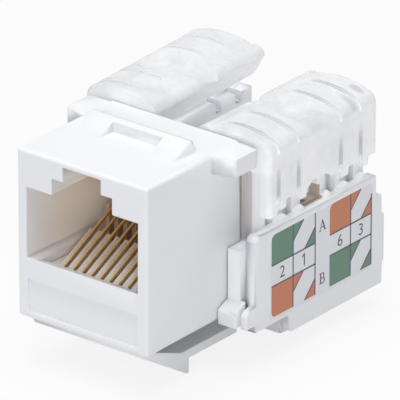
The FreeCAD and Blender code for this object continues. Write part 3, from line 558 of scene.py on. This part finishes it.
@dataclass(frozen=True)
class FrostedPolycarbonate:
    """Milky clear plastic of a cap, cloudy inside, with painted shade in the hollow backs of the ribs.

    Lengths are in millimetres, the rates of fading in shares per millimetre. A face counts as roof
    where it looks up by more than the roof slope. The wall's colours are painted lighter and the
    roof's darker than the one plastic would be: painted light and painted shade. Most light passes
    the plastic on its way to the tower under it, so the cap throws hardly a shadow.
    """

    name: str
    marks: tuple[Mark, ...]
    # Colour of the painted shade in the grooves, slits and small roof hollows.
    groove: Colour = (0.24, 0.255, 0.285)
    # The wall's colours are painted lighter and the roof's darker than the one plastic: painted light and
    # painted shade.
    wall: Colour = (0.975, 0.98, 0.99)
    wall_cloud: Colour = (0.955, 0.96, 0.975)
    roof: Colour = (0.81, 0.815, 0.83)
    roof_cloud: Colour = (0.73, 0.74, 0.76)
    roof_alpha: float = 0.8
    wall_alpha: float = 0.9
    haze_share: float = 0.2
    dark_share: float = 0.2
    light_passed: float = 0.95
    roof_slope: float = 0.25
    roof_rate: float = 1.6
    groove_half: float = 0.23
    line_inner: float = 4.8
    line_outer: float = 10.2
    inner_rate: float = 1.6
    outer_rate: float = 0.45
    slit_half: float = 0.3
    slit_bottom: float = 1.6
    slit_top: float = 5.0
    bottom_rate: float = 4.0
    top_rate: float = 0.6
    slit_shade: float = 0.42
    ripples_per_mm: float = 0.5
    ripple_depth: float = 0.05
    clouds_per_mm: float = 0.32
    cloud_start: float = 0.42
    cloud_rate: float = 4.0
    roughness: float = 0.14
    roughness_spread: float = 0.12
    refraction: float = 1.45
    seat: CapSeat = CapSeat()

    def roof_lines(self, across: Flow, along: Flow) -> Flow:
        """Return 1 where the hollow backs of the ribs get painted shade, fading out towards the wall."""
        out = across.absolute()
        return (along.near(CAP_SLITS, self.groove_half) * out.rising(self.line_inner, self.inner_rate)
                * out.falling(self.line_outer, self.outer_rate))

    def wall_slits(self, along: Flow, height: Flow) -> Flow:
        """Return how dark the painted shade makes the slits between the outer wall's fingers."""
        level = height - self.seat.lift - (along - self.seat.hinge) * self.seat.slope
        return (along.near(CAP_SLITS, self.slit_half) * level.rising(self.slit_bottom, self.bottom_rate)
                * level.falling(self.slit_top, self.top_rate) * self.slit_shade)

    def hollows(self, across: Flow, along: Flow) -> Flow:
        """Return how dark the painted shade of the roof's small hollows makes the point, from 0 to 1."""
        depths = [mark.depth(across, along) for mark in self.marks]
        return sum(depths[1:], depths[0]).clamped()

    def material(self) -> bpy.types.Material:
        """Make the finish.

        Returns:
            The node material.
        """
        shader = Shader(self.name)
        across, along, height = shader.axes()
        ripple = shader.noise(self.ripples_per_mm, 2.0)
        haze = shader.noise(self.clouds_per_mm, 3.0).rising(self.cloud_start, self.cloud_rate)
        upward = shader.upward()
        above = upward.rising(0.0, self.roof_rate)
        # Painted shade: grooves and small hollows on the roof, slits on the wall.
        on_roof = self.roof_lines(across, along) + self.hollows(across, along)
        dark = (on_roof * (upward > self.roof_slope)
                + self.wall_slits(along, height) * (upward < self.roof_slope))
        # Painted light on the wall's colours and painted shade on the roof's.
        milky = shader.mix(above, shader.mix(haze, self.wall_cloud, self.wall),
                           shader.mix(haze, self.roof_cloud, self.roof))
        solid = (self.wall_alpha + above * (self.roof_alpha - self.wall_alpha)
                 + dark * self.dark_share + (haze - 0.5) * self.haze_share).clamped()
        passed = shader.node("ShaderNodeLightPath", {}, output="Is Shadow Ray") * self.light_passed
        return shader.surface(
            Base_Color=shader.mix(dark.clamped(), milky, self.groove), Alpha=solid * (1.0 - passed),
            Roughness=self.roughness + ripple * self.roughness_spread, IOR=self.refraction,
            Normal=shader.bump(ripple, self.ripple_depth))


# The caps' painted shade differs: dark groove lines and three hollows on the right, pale groove lines and
# three small dark hollows on the left.
CAPS = {
    Side.LEFT: FrostedPolycarbonate(
        "frosted_cap_left",
        (Mark(-3.0, 24.8, 0.5, 0.4, 1.0), Mark(-3.1, 26.1, 0.4, 0.35, 0.8),
         Mark(-3.1, 27.4, 0.6, 0.4, 1.0)),
        groove=(0.72, 0.73, 0.76), seat=CapSeat(lift=0.45, slope=math.tan(math.radians(1.8)))),
    Side.RIGHT: FrostedPolycarbonate(
        "frosted_cap_right",
        (Mark(8.8, 27.6, 0.95, 0.5, 0.42), Mark(9.6, 25.5, 1.2, 0.5, 0.32),
         Mark(8.75, 20.3, 1.9, 2.0, 0.22))),
}


@dataclass(frozen=True)
class StudioFloor:
    """Pale floor that the eye sees as the white background."""

    name: str = "studio_floor"
    colour: Colour = (0.8, 0.8, 0.8)
    glow_share: float = 0.85

    def material(self) -> bpy.types.Material:
        """Make the finish, which keeps a faint shadow.

        Returns:
            The node material.
        """
        shader = Shader(self.name)
        plain = shader.node("ShaderNodeBsdfDiffuse", {}, self.colour)
        glow = shader.node("ShaderNodeEmission", {}, WHITE, 1.0)
        share = shader.clear_view() * self.glow_share
        return shader.finished(shader.node("ShaderNodeMixShader", {}, share, plain, glow))


class Surround(Graph):
    """Builder of the even pale world round the jack."""

    def __init__(self, name: str) -> None:
        """Start an empty world.

        Args:
            name: Name of the world.
        """
        self.world = bpy.data.worlds.new(name)
        self.world.use_nodes = True
        super().__init__(self.world.node_tree)

    def lit(self, strength: float) -> bpy.types.World:
        """Finish the world, which looks white but lights the jack more weakly.

        Args:
            strength: Strength of its light on the jack.

        Returns:
            The finished world.
        """
        seen = self.clear_view() * (1.0 - strength) + strength
        self.add("ShaderNodeOutputWorld", {}, Surface=self.node("ShaderNodeBackground", {}, WHITE, seen))
        return self.world


def link(name: str, data: bpy.types.ID) -> bpy.types.Object:
    """Put a new object into the scene.

    Args:
        name: Name of the object.
        data: Mesh, curve, lamp or camera that it shows.

    Returns:
        The object.
    """
    made = bpy.data.objects.new(name, data)
    bpy.context.scene.collection.objects.link(made)
    return made


def moulded(name: str, shape: bmesh.types.BMesh, materials: list[bpy.types.Material]) -> bpy.types.Object:
    """Turn a shape into an object in the scene.

    Args:
        name: Name of the object and its mesh.
        shape: The shape, which is used up.
        materials: Its materials, in the order of the faces' indices.

    Returns:
        The object.
    """
    mesh = bpy.data.meshes.new(name)
    shape.to_mesh(mesh)
    shape.free()
    for material in materials:
        mesh.materials.append(material)
    return link(name, mesh)


def direction(azimuth: float, elevation: float) -> Vector:
    """Return the direction of a place round the jack.

    Args:
        azimuth: Angle round the jack in degrees, 0 in front of the port.
        elevation: Angle above level in degrees.

    Returns:
        A vector of length 1 away from the jack.
    """
    turn, rise = math.radians(azimuth), math.radians(elevation)
    return Vector((math.sin(turn) * math.cos(rise), -math.cos(turn) * math.cos(rise), math.sin(rise)))


def look(viewer: bpy.types.Object, aim: Vector, away: Vector, distance: float) -> None:
    """Put a camera or a lamp in its place and turn it towards a point.

    Args:
        viewer: The camera or lamp.
        aim: Point that it looks at.
        away: Direction from that point to the camera or lamp.
        distance: Distance between them in metres.
    """
    viewer.location = aim + away * distance
    viewer.rotation_euler = (-away).to_track_quat("-Z", "Y").to_euler()


@dataclass(frozen=True)
class Lamp:
    """A soft square lamp that looks at the jack and leaves no glare on it.

    Angles are in degrees, lengths in metres and the power in watts.
    """

    name: str
    azimuth: float
    elevation: float
    size: float
    power: float
    distance: float = 0.6

    def build(self, aim: Vector) -> None:
        """Hang the lamp.

        Args:
            aim: Point that it looks at.
        """
        data = bpy.data.lights.new(self.name, "AREA")
        data.shape, data.size, data.energy = "SQUARE", self.size, self.power
        lamp = link(self.name, data)
        look(lamp, aim, direction(self.azimuth, self.elevation), self.distance)
        lamp.visible_glossy = False


@dataclass
class Studio:
    """Camera, lamps, world and floor.

    Angles are in degrees and lengths in metres, but the lens and its sensor are in millimetres.
    """

    azimuth: float = 38.43
    elevation: float = 24.38
    distance: float = 0.7
    lens: float = 716.3
    sensor: float = 36.0
    aim: tuple[float, float, float] = (0.0, 0.014, -0.0012)
    offset_right: float = 1.5585 * MM
    offset_up: float = 0.097 * MM
    floor_half: float = 0.8
    floor_drop: float = 0.02 * MM
    surround: float = 0.29
    lamps: tuple[Lamp, ...] = (Lamp("key", -20.0, 84.0, 0.5, 3.1), Lamp("fill", 37.0, 16.0, 0.25, 1.1))

    def camera(self) -> None:
        """Place the camera, a little aside of the point that the lamps look at."""
        data = bpy.data.cameras.new("camera")
        data.sensor_width = self.sensor
        data.lens = self.lens
        data.clip_start, data.clip_end = 0.01, 10.0
        camera = link("camera", data)
        away = direction(self.azimuth, self.elevation)
        turn = math.radians(self.azimuth)
        right = Vector((math.cos(turn), math.sin(turn), 0.0))
        aim = Vector(self.aim) + right * self.offset_right + away.cross(right) * self.offset_up
        look(camera, aim, away, self.distance)
        bpy.context.scene.camera = camera

    def floor(self) -> None:
        """Lay a pale floor under the jack."""
        mesh = bpy.data.meshes.new("floor")
        half, height = self.floor_half, CAD_BOX[0][2] - self.floor_drop
        mesh.from_pydata([(-half, -half, height), (half, -half, height), (half, half, height),
                          (-half, half, height)], [], [(0, 1, 2, 3)])
        mesh.materials.append(StudioFloor().material())
        floor = link("floor", mesh)

    def build(self) -> None:
        """Set up the whole studio."""
        bpy.context.scene.view_settings.view_transform = "Standard"
        self.camera()
        bpy.context.scene.world = Surround("surround").lit(self.surround)
        self.floor()
        for lamp in self.lamps:
            lamp.build(Vector(self.aim))


def paint(node: str, material: bpy.types.Material) -> None:
    """Give a node of the model its material.

    Args:
        node: Name of the node.
        material: Material for all of it.
    """
    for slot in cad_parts[node].material_slots:
        slot.material = material
    log.info("%s: %s", node, material.name)


@dataclass
class SoftMoulding:
    """A moulded piece whose sharp outer edges are eased, as a mould leaves them.

    Lengths are in metres and angles in radians. An edge stays sharp where its rounding would stray from
    the sharp shape or turn over; reach says how near such a fault counts, in radii.
    """

    node: str
    body: str
    slot: str
    radius: float = 0.12 * MM
    segments: int = 2
    sharp: float = math.radians(40.0)
    shortest: float = 0.5 * MM
    rounds: int = 8
    merge: float = 0.002 * MM
    flat: float = math.radians(0.3)
    crease: float = math.radians(32.0)
    stray: float = 0.1 * MM
    turned: float = 0.2
    reach: float = 2.2
    sliver: float = (0.001 * MM) ** 2

    def eased(self, plain: bmesh.types.BMesh, chosen: set[int]) -> bmesh.types.BMesh:
        """Return a copy of the shape with the chosen edges rounded.

        Args:
            plain: The sharp shape.
            chosen: Indices of its edges.

        Returns:
            The copy, as triangles.
        """
        shape = plain.copy()
        shape.edges.ensure_lookup_table()
        bmesh.ops.bevel(shape, geom=[shape.edges[index] for index in chosen], offset=self.radius,
                        offset_type="OFFSET", segments=self.segments, profile=0.5, affect="EDGES",
                        clamp_overlap=False)
        bmesh.ops.triangulate(shape, faces=shape.faces)
        return shape

    def crowded(self, shape: bmesh.types.BMesh, plain: bmesh.types.BMesh, chosen: set[int],
                surface: BVHTree) -> set[int]:
        """Find the rounded edges that ran into their neighbours.

        Args:
            shape: The shape with rounded edges.
            plain: The sharp shape.
            chosen: Indices of its rounded edges.
            surface: Search tree of the sharp shape.

        Returns:
            Indices of the edges that should stay sharp.
        """
        faults = []
        for face in shape.faces:
            if face.calc_area() < self.sliver:
                continue
            _place, normal, _index, gap = surface.find_nearest(face.calc_center_median())
            if gap > self.stray or face.normal.dot(normal) < self.turned:
                faults += [corner.co for corner in face.verts]
        near = set()
        for index in chosen:
            start, end = (corner.co for corner in plain.edges[index].verts)
            for place in faults:
                share = (place - start).dot(end - start) / (end - start).length_squared
                nearest = start.lerp(end, min(1.0, max(0.0, share)))
                if (nearest - place).length < self.reach * self.radius:
                    near.add(index)
                    break
        return near

    def soft_shape(self) -> tuple[bmesh.types.BMesh, int]:
        """Ease every edge of the node that has room for it.

        Returns:
            The shape, and how many of its edges were eased.
        """
        plain = bmesh.new()
        plain.from_mesh(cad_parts[self.node].data)
        bmesh.ops.remove_doubles(plain, verts=plain.verts, dist=self.merge)
        surface = BVHTree.FromBMesh(plain)
        bmesh.ops.dissolve_limit(plain, angle_limit=self.flat, verts=plain.verts, edges=plain.edges)
        plain.edges.index_update()
        plain.edges.ensure_lookup_table()
        chosen = {edge.index for edge in plain.edges
                  if edge.is_manifold and edge.is_convex and edge.calc_length() > self.shortest
                  and edge.calc_face_angle() > self.sharp}
        shape = self.eased(plain, chosen)
        for _round in range(self.rounds):
            crowded = self.crowded(shape, plain, chosen, surface)
            if not crowded:
                break
            chosen -= crowded
            shape.free()
            shape = self.eased(plain, chosen)
        plain.free()
        return shape, len(chosen)

    def build(self, material: bpy.types.Material) -> None:
        """Replace the node by a copy with eased edges.

        Args:
            material: Finish of the piece.
        """
        shape, eased = self.soft_shape()
        piece = moulded(f"{self.node}_soft", shape, [material])
        piece.data.shade_smooth()
        piece.data.set_sharp_from_angle(angle=self.crease)
        weights = piece.modifiers.new("even_shading", "WEIGHTED_NORMAL")
        weights.keep_sharp = True
        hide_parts(self.node)
        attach(piece, self.body)
        log.info("%s: %d edges eased", piece.name, eased)


@dataclass
class ContactRow:
    """The eight sprung contact wires, each one round wire bent along the same route.

    Lengths are in metres and angles in radians.
    """

    count: int = 8
    pitch: float = 1.016 * MM
    thickness: float = 0.34 * MM
    nose_radius: float = 0.6 * MM
    nose_place: float = 2.13 * MM
    leg_height: float = -5.3 * MM
    board_height: float = -6.4 * MM
    tail_place: float = 11.75 * MM
    slope: float = math.radians(25.7)
    beam: float = 8.7 * MM
    bend_steps: int = 12
    section_sides: int = 14
    crease: float = math.radians(50.0)

    def route(self) -> bpy.types.Object:
        """Draw the wire's route in the middle plane.

        Returns:
            An open curve of straight runs: tail, leg, nose and sloping beam.
        """
        front = self.nose_place - self.nose_radius
        top_along = self.nose_place - self.nose_radius * math.sin(self.slope)
        top_height = self.leg_height + self.nose_radius * (1 + math.cos(self.slope))
        corner = top_height + (front - top_along) * math.tan(self.slope)
        corners = [(self.tail_place, self.board_height), (self.tail_place, self.leg_height),
                   (front, self.leg_height), (front, corner),
                   (top_along + self.beam * math.cos(self.slope),
                    top_height + self.beam * math.sin(self.slope))]
        data = bpy.data.curves.new("wire_route", "CURVE")
        data.dimensions = "3D"
        run = data.splines.new("POLY")
        run.points.add(len(corners) - 1)
        for point, (along, height) in zip(run.points, corners):
            point.co = (0.0, along, height, 1.0)
        return link("wire_route", data)

    def tree(self, material: bpy.types.Material) -> tuple[bpy.types.GeometryNodeTree, dict[str, float]]:
        """Build the node tree that rounds the route, gives it a section and repeats it.

        Args:
            material: Finish of the wires.

        Returns:
            The tree, and the value for each of its inputs by identifier.
        """
        tree = bpy.data.node_groups.new("bent_wires", "GeometryNodeTree")
        tree.interface.new_socket("Geometry", in_out="INPUT", socket_type="NodeSocketGeometry")
        values: dict[str, float] = {}
        for name, kind, value in (("Count", "NodeSocketInt", self.count),
                                  ("Pitch", "NodeSocketFloat", self.pitch),
                                  ("Thickness", "NodeSocketFloat", self.thickness),
                                  ("Bend radius", "NodeSocketFloat", self.nose_radius)):
            socket = tree.interface.new_socket(name, in_out="INPUT", socket_type=kind)
            values[socket.identifier] = value
        tree.interface.new_socket("Geometry", in_out="OUTPUT", socket_type="NodeSocketGeometry")
        graph = Graph(tree)
        given = graph.add("NodeGroupInput", {}).outputs
        route, count, pitch, thickness, radius = (
            Flow(graph, given[name]) for name in ("Geometry", "Count", "Pitch", "Thickness", "Bend radius"))
        bent = graph.node("GeometryNodeFilletCurve", {"mode": "POLY"}, Curve=route, Radius=radius,
                          Count=self.bend_steps, Limit_Radius=False)
        section = graph.node("GeometryNodeCurvePrimitiveCircle", {}, Resolution=self.section_sides,
                             Radius=thickness * 0.5)
        wire = graph.node("GeometryNodeCurveToMesh", {}, Curve=bent, Profile_Curve=section,
                          Fill_Caps=True)
        step = graph.node("ShaderNodeCombineXYZ", {}, X=pitch)
        first = graph.node("ShaderNodeVectorMath", {"operation": "SCALE"}, step,
                           Scale=(1.0 - count) * 0.5)
        places = graph.node("GeometryNodeMeshLine", {"mode": "OFFSET"}, Count=count,
                            Start_Location=first, Offset=step)
        row = graph.node("GeometryNodeInstanceOnPoints", {}, Points=places, Instance=wire)
        smooth = graph.node("GeometryNodeSetShadeSmooth", {}, row)
        real = graph.node("GeometryNodeRealizeInstances", {}, smooth)
        dressed = graph.node("GeometryNodeSetMaterial", {}, Geometry=real, Material=material)
        graph.add("NodeGroupOutput", {}, Geometry=dressed)
        return tree, values

    def build(self, material: bpy.types.Material) -> None:
        """Make the row and let it stand for the eight wires of the model.

        Args:
            material: Finish of the wires.
        """
        route = self.route()
        tree, values = self.tree(material)
        modifier = route.modifiers.new("bent_wires", "NODES")
        modifier.node_group = tree
        for identifier, value in values.items():
            modifier[identifier] = value
        ready = route.evaluated_get(bpy.context.evaluated_depsgraph_get())
        mesh = bpy.data.meshes.new_from_object(ready)
        mesh.name = "contact_wire_row"
        bpy.data.objects.remove(route)
        mesh.set_sharp_from_angle(angle=self.crease)
        piece = link("contact_wire_row", mesh)
        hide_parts(*[f"contact_wire_{index + 1}" for index in range(self.count)])
        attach(piece, "jack")
        log.info("%s: %d faces", piece.name, len(mesh.polygons))


@dataclass
class SlitLips:
    """Small rounded lips at the lower ends of the slits in a cap's outer wall.

    Lengths are in millimetres.
    """

    side: Side
    seat: CapSeat
    wall: float = 10.2
    height: float = 1.4
    half_out: float = 0.2
    half_length: float = 0.38
    half_height: float = 0.22
    turns: int = 16
    rings: int = 10

    def build(self, material: bpy.types.Material) -> None:
        """Mould the lips on the cap.

        Args:
            material: Finish of the lips.
        """
        shape = bmesh.new()
        half = Vector((self.half_out, self.half_length, self.half_height)) * MM
        for slit in CAP_SLITS:
            rise = self.seat.lift + (slit - self.seat.hinge) * self.seat.slope
            centre = Vector((self.side.value * self.wall, slit, self.height + rise)) * MM
            bmesh.ops.create_uvsphere(shape, u_segments=self.turns, v_segments=self.rings, radius=1.0,
                                      matrix=Matrix.LocRotScale(centre, None, half))
        for face in shape.faces:
            face.smooth = True
        piece = moulded(f"slit_lips_{self.side.word}", shape, [material])
        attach(piece, f"{self.side.word}_cap")
        log.info("%s: %d faces", piece.name, len(piece.data.polygons))


# The characters with serifs, as straight strokes: both ends across and up, and the width, all in
# shares of the character's height.
STROKES: dict[str, tuple[tuple[Spot, Spot, float], ...]] = {
    "1": (((0.03, 0.0), (0.03, 1.0), 0.12), ((0.05, 0.96), (-0.22, 0.74), 0.11)),
    "A": (((-0.35, 0.02), (0.02, 1.0), 0.07), ((-0.02, 1.0), (0.35, 0.02), 0.15),
          ((-0.22, 0.34), (0.23, 0.34), 0.07), ((-0.48, 0.03), (-0.2, 0.03), 0.06),
          ((0.16, 0.03), (0.5, 0.03), 0.06)),
    "B": (((-0.2, 0.0), (-0.2, 1.0), 0.15), ((-0.38, 0.03), (0.1, 0.03), 0.06),
          ((-0.38, 0.97), (0.08, 0.97), 0.06), ((-0.2, 0.52), (0.1, 0.52), 0.06),
          ((0.05, 0.96), (0.22, 0.88), 0.08), ((0.21, 0.9), (0.24, 0.62), 0.13),
          ((0.24, 0.62), (0.06, 0.52), 0.08), ((0.06, 0.53), (0.28, 0.42), 0.08),
          ((0.27, 0.44), (0.28, 0.12), 0.14), ((0.28, 0.13), (0.06, 0.03), 0.08)),
}


@dataclass
class WiringLabel:
    """Print of one wiring label: colour fields, rules, pair numbers and the two scheme letters.

    Lengths are in millimetres. Outlines are places along the jack and heights, and a column of fields
    is given by its start, middle and end. A lift keeps one print clear of the print under it.
    """

    side: Side
    numbers: tuple[str, str, str, str]
    upper: tuple[Ink, Ink]
    wall: float = 10.4
    columns: tuple[tuple[float, float, float], ...] = ((13.46, 16.52, 19.68), (21.78, 24.79, 27.80))
    row_low: float = 2.85 - PORT_HEIGHT
    row_high: float = 4.87 - PORT_HEIGHT
    bottom: float = -0.15 - PORT_HEIGHT
    top: float = 7.78 - PORT_HEIGHT
    corner_radius: float = 0.55
    corner_steps: int = 6
    slant: Spot = (1.5, 1.6)
    rule: float = 0.13
    short_rule: float = 1.0
    letter_along: float = 20.72
    upper_letter: float = 6.24 - PORT_HEIGHT
    lower_letter: float = 1.1 - PORT_HEIGHT
    letter_height: float = 1.06
    digit_height: float = 1.2
    digit_scale: float = 1.35
    digit_thinning: float = 0.012
    ink_thickness: float = 0.012
    slant_lift: float = 0.004
    rule_lift: float = 0.008
    stroke_lift: float = 0.0004
    merge: float = 0.0005

    def prism(self, outline: list[Spot], mesh: bmesh.types.BMesh, ink: int, lift: float = 0.0) -> None:
        """Add one printed shape as a very thin plate on the label.

        Args:
            outline: Corners of the shape.
            mesh: Mesh that receives it.
            ink: Index of its material.
            lift: Extra distance from the label.
        """
        base = self.wall + lift
        low, high = ([mesh.verts.new((self.side.value * out * MM, along * MM, height * MM))
                      for along, height in outline] for out in (base, base + self.ink_thickness))
        faces = [mesh.faces.new(high), mesh.faces.new(list(reversed(low)))]
        for index in range(len(outline)):
            following = (index + 1) % len(outline)
            faces.append(mesh.faces.new((low[index], low[following], high[following], high[index])))
        for face in faces:
            face.material_index = ink

    def strip(self, start: Spot, end: Spot, width: float) -> list[Spot]:
        """Return the outline of a straight stroke between two points.

        Args:
            start: First point.
            end: Last point.
            width: Width of the stroke.

        Returns:
            The four corners, in order.
        """
        along, height = end[0] - start[0], end[1] - start[1]
        length = math.hypot(along, height)
        aside = (-height / length * width / 2, along / length * width / 2)
        return [(start[0] + aside[0], start[1] + aside[1]), (start[0] - aside[0], start[1] - aside[1]),
                (end[0] - aside[0], end[1] - aside[1]), (end[0] + aside[0], end[1] + aside[1])]

    def rounded(self, low: Spot, high: Spot, corner: Spot | None) -> list[Spot]:
        """Return a rectangle with one rounded corner at most.

        Args:
            low: Low corner.
            high: High corner.
            corner: The corner to round, or None.

        Returns:
            The outline, in order.
        """
        radius = self.corner_radius
        outline = []
        for point in (low, (high[0], low[1]), high, (low[0], high[1])):
            if point != corner:
                outline.append(point)
                continue
            centre = (point[0] + radius * (1 if point[0] == low[0] else -1),
                      point[1] + radius * (1 if point[1] == low[1] else -1))
            middle = math.atan2(point[1] - centre[1], point[0] - centre[0])
            for step in range(self.corner_steps + 1):
                angle = middle + (step / self.corner_steps - 0.5) * math.pi / 2
                outline.append((centre[0] + radius * math.cos(angle), centre[1] + radius * math.sin(angle)))
        return outline

    def field(self, ink: Ink, column: tuple[float, float, float], heights: Span, corner: Spot | None,
              mesh: bmesh.types.BMesh) -> None:
        """Add one colour field: a plain half, and a half with a white stripe from corner to corner.

        Args:
            ink: Its ink.
            column: Its start, middle and end along the jack.
            heights: Its lower and upper edge.
            corner: The corner to round, or None.
            mesh: Mesh that receives it.
        """
        start, middle, end = column
        low, high = heights
        across, down = self.slant
        upper = ((middle, high - down), (middle + across, high))
        lower = ((end, low + down), (end - across, low))
        for outline in (self.rounded((start, low), (middle, high), corner), [(middle, high), *upper],
                        [(end, low), *lower]):
            self.prism(outline, mesh, ink.order)
        for line in (upper, lower):
            self.prism(self.strip(*line, self.rule), mesh, Ink.RULE.order, self.slant_lift)

    def fields(self, mesh: bmesh.types.BMesh) -> None:
        """Add the colour fields and their rules.

        Args:
            mesh: Mesh that receives them.
        """
        for group, column in enumerate(self.columns):
            start, middle, end = column
            first = self.upper[group]
            second = Ink.ORANGE if first is Ink.GREEN else Ink.GREEN
            lower_corner = None if group else (start, self.bottom)
            self.field(first, column, (self.row_high, self.top), (start, self.top), mesh)
            self.field(second, column, (self.bottom, self.row_low), lower_corner, mesh)
            for line in (((start, self.row_low), (end, self.row_low)),
                         ((start, self.row_high), (end, self.row_high)),
                         ((middle, self.bottom), (middle, self.top)),
                         ((end, self.bottom), (end, self.top - (self.short_rule if group else 0.0)))):
                self.prism(self.strip(*line, self.rule), mesh, Ink.RULE.order, self.rule_lift)

    def strokes(self, text: str, along: float, height: float, mesh: bmesh.types.BMesh) -> None:
        """Draw one character from straight strokes.

        Args:
            text: The character.
            along: Its centre along the jack.
            height: Its centre's height.
            mesh: Mesh that receives it.
        """
        size = self.digit_height if text.isdigit() else self.letter_height
        for number, (start, end, width) in enumerate(STROKES[text]):
            corners = [(along + self.side.value * across * size, height + (up - 0.5) * size)
                       for across, up in (start, end)]
            self.prism(self.strip(*corners, width * size), mesh, 0, number * self.stroke_lift)

    def digit(self, text: str, along: float, height: float) -> bpy.types.Mesh:
        """Return one plain digit as a thin solid, centred on a place of the label.

        Args:
            text: The digit.
            along: Its centre along the jack.
            height: Its centre's height.

        Returns:
            A mesh of the digit, in place.
        """
        data = bpy.data.curves.new("character", "FONT")
        data.body = text
        data.align_x, data.align_y = "CENTER", "CENTER"
        data.size = self.digit_height * MM * self.digit_scale
        data.extrude = self.ink_thickness * MM / 2
        data.offset = -self.digit_thinning * MM
        holder = link("character", data)
        bpy.context.view_layer.update()
        mesh = bpy.data.meshes.new_from_object(
            holder.evaluated_get(bpy.context.evaluated_depsgraph_get()))
        bpy.data.objects.remove(holder)
        corners = [point.co for point in mesh.vertices]
        centre = Vector([(min(point[axis] for point in corners) + max(point[axis] for point in corners)) / 2
                         for axis in range(3)])
        face = self.side.value
        turn = Matrix(((0.0, 0.0, face, 0.0), (face, 0.0, 0.0, 0.0), (0.0, 1.0, 0.0, 0.0),
                       (0.0, 0.0, 0.0, 1.0)))
        out = face * (self.wall + self.ink_thickness)
        place = Matrix.Translation((out * MM, along * MM, height * MM))
        mesh.transform(place @ turn @ Matrix.Translation(-centre))
        return mesh

    def characters(self, mesh: bmesh.types.BMesh) -> None:
        """Add the pair numbers and the scheme letters.

        Args:
            mesh: Mesh that receives them.
        """
        middle = (self.row_low + self.row_high) / 2
        cells = [cell for column in self.columns for cell in zip(column, column[1:])]
        places = [((start + end) / 2, middle, text) for (start, end), text in zip(cells, self.numbers)]
        places += [(self.letter_along, self.upper_letter, "A"), (self.letter_along, self.lower_letter, "B")]
        for along, height, text in places:
            if text in STROKES:
                self.strokes(text, along, height, mesh)
                continue
            digit = self.digit(text, along, height)
            mesh.from_mesh(digit)
            bpy.data.meshes.remove(digit)
        bmesh.ops.remove_doubles(mesh, verts=mesh.verts, dist=self.merge * MM)

    def stick(self, name: str, shape: bmesh.types.BMesh, inks: list[bpy.types.Material]) -> None:
        """Turn a printed shape into a piece that rides on the jack.

        Args:
            name: Name of the piece, without its side.
            shape: The shape, which is used up.
            inks: Its materials.
        """
        bmesh.ops.recalc_face_normals(shape, faces=shape.faces)
        piece = moulded(f"{name}_{self.side.word}", shape, inks)
        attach(piece, "jack")
        log.info("%s: %d faces", piece.name, len(piece.data.polygons))

    def build(self, inks: dict[Ink, bpy.types.Material]) -> None:
        """Print the label.

        Args:
            inks: Material of each ink.
        """
        fields, characters = bmesh.new(), bmesh.new()
        self.fields(fields)
        self.stick("label_fields", fields, [inks[ink] for ink in Ink])
        self.characters(characters)
        self.stick("label_characters", characters, [inks[Ink.RULE]])


def main() -> None:
    """Build and dress the jack."""
    logging.basicConfig(level=logging.INFO, format="%(name)s: %(message)s")
    Studio().build()
    white = WhiteMoulding().material()
    for node, body in (("front_housing", "jack"), ("termination_block", "jack"), ("base_cover", "jack"),
                       ("latch_lever", "latch")):
        SoftMoulding(node, body, "white").build(white)
    paint("contact_carrier", CombMoulding().material())
    paint("circuit_board", BoardResin().material())
    tin = TinnedSpring().material()
    for index in range(8):
        paint(f"idc_contact_{index + 1}", tin)
    film = LabelFilm().material()
    for side in Side:
        clear = CAPS[side].material()
        paint(f"cap_{side.word}", clear)
        SlitLips(side, CAPS[side].seat).build(clear)
        paint(f"label_{side.word}", film)
    ContactRow().build(GoldPlating().material())
    inks = {ink: ink.material() for ink in Ink}
    WiringLabel(Side.RIGHT, ("2", "1", "6", "3"), (Ink.GREEN, Ink.ORANGE)).build(inks)
    WiringLabel(Side.LEFT, ("5", "4", "8", "7"), (Ink.ORANGE, Ink.GREEN)).build(inks)


if __name__ == "__main__":
    main()
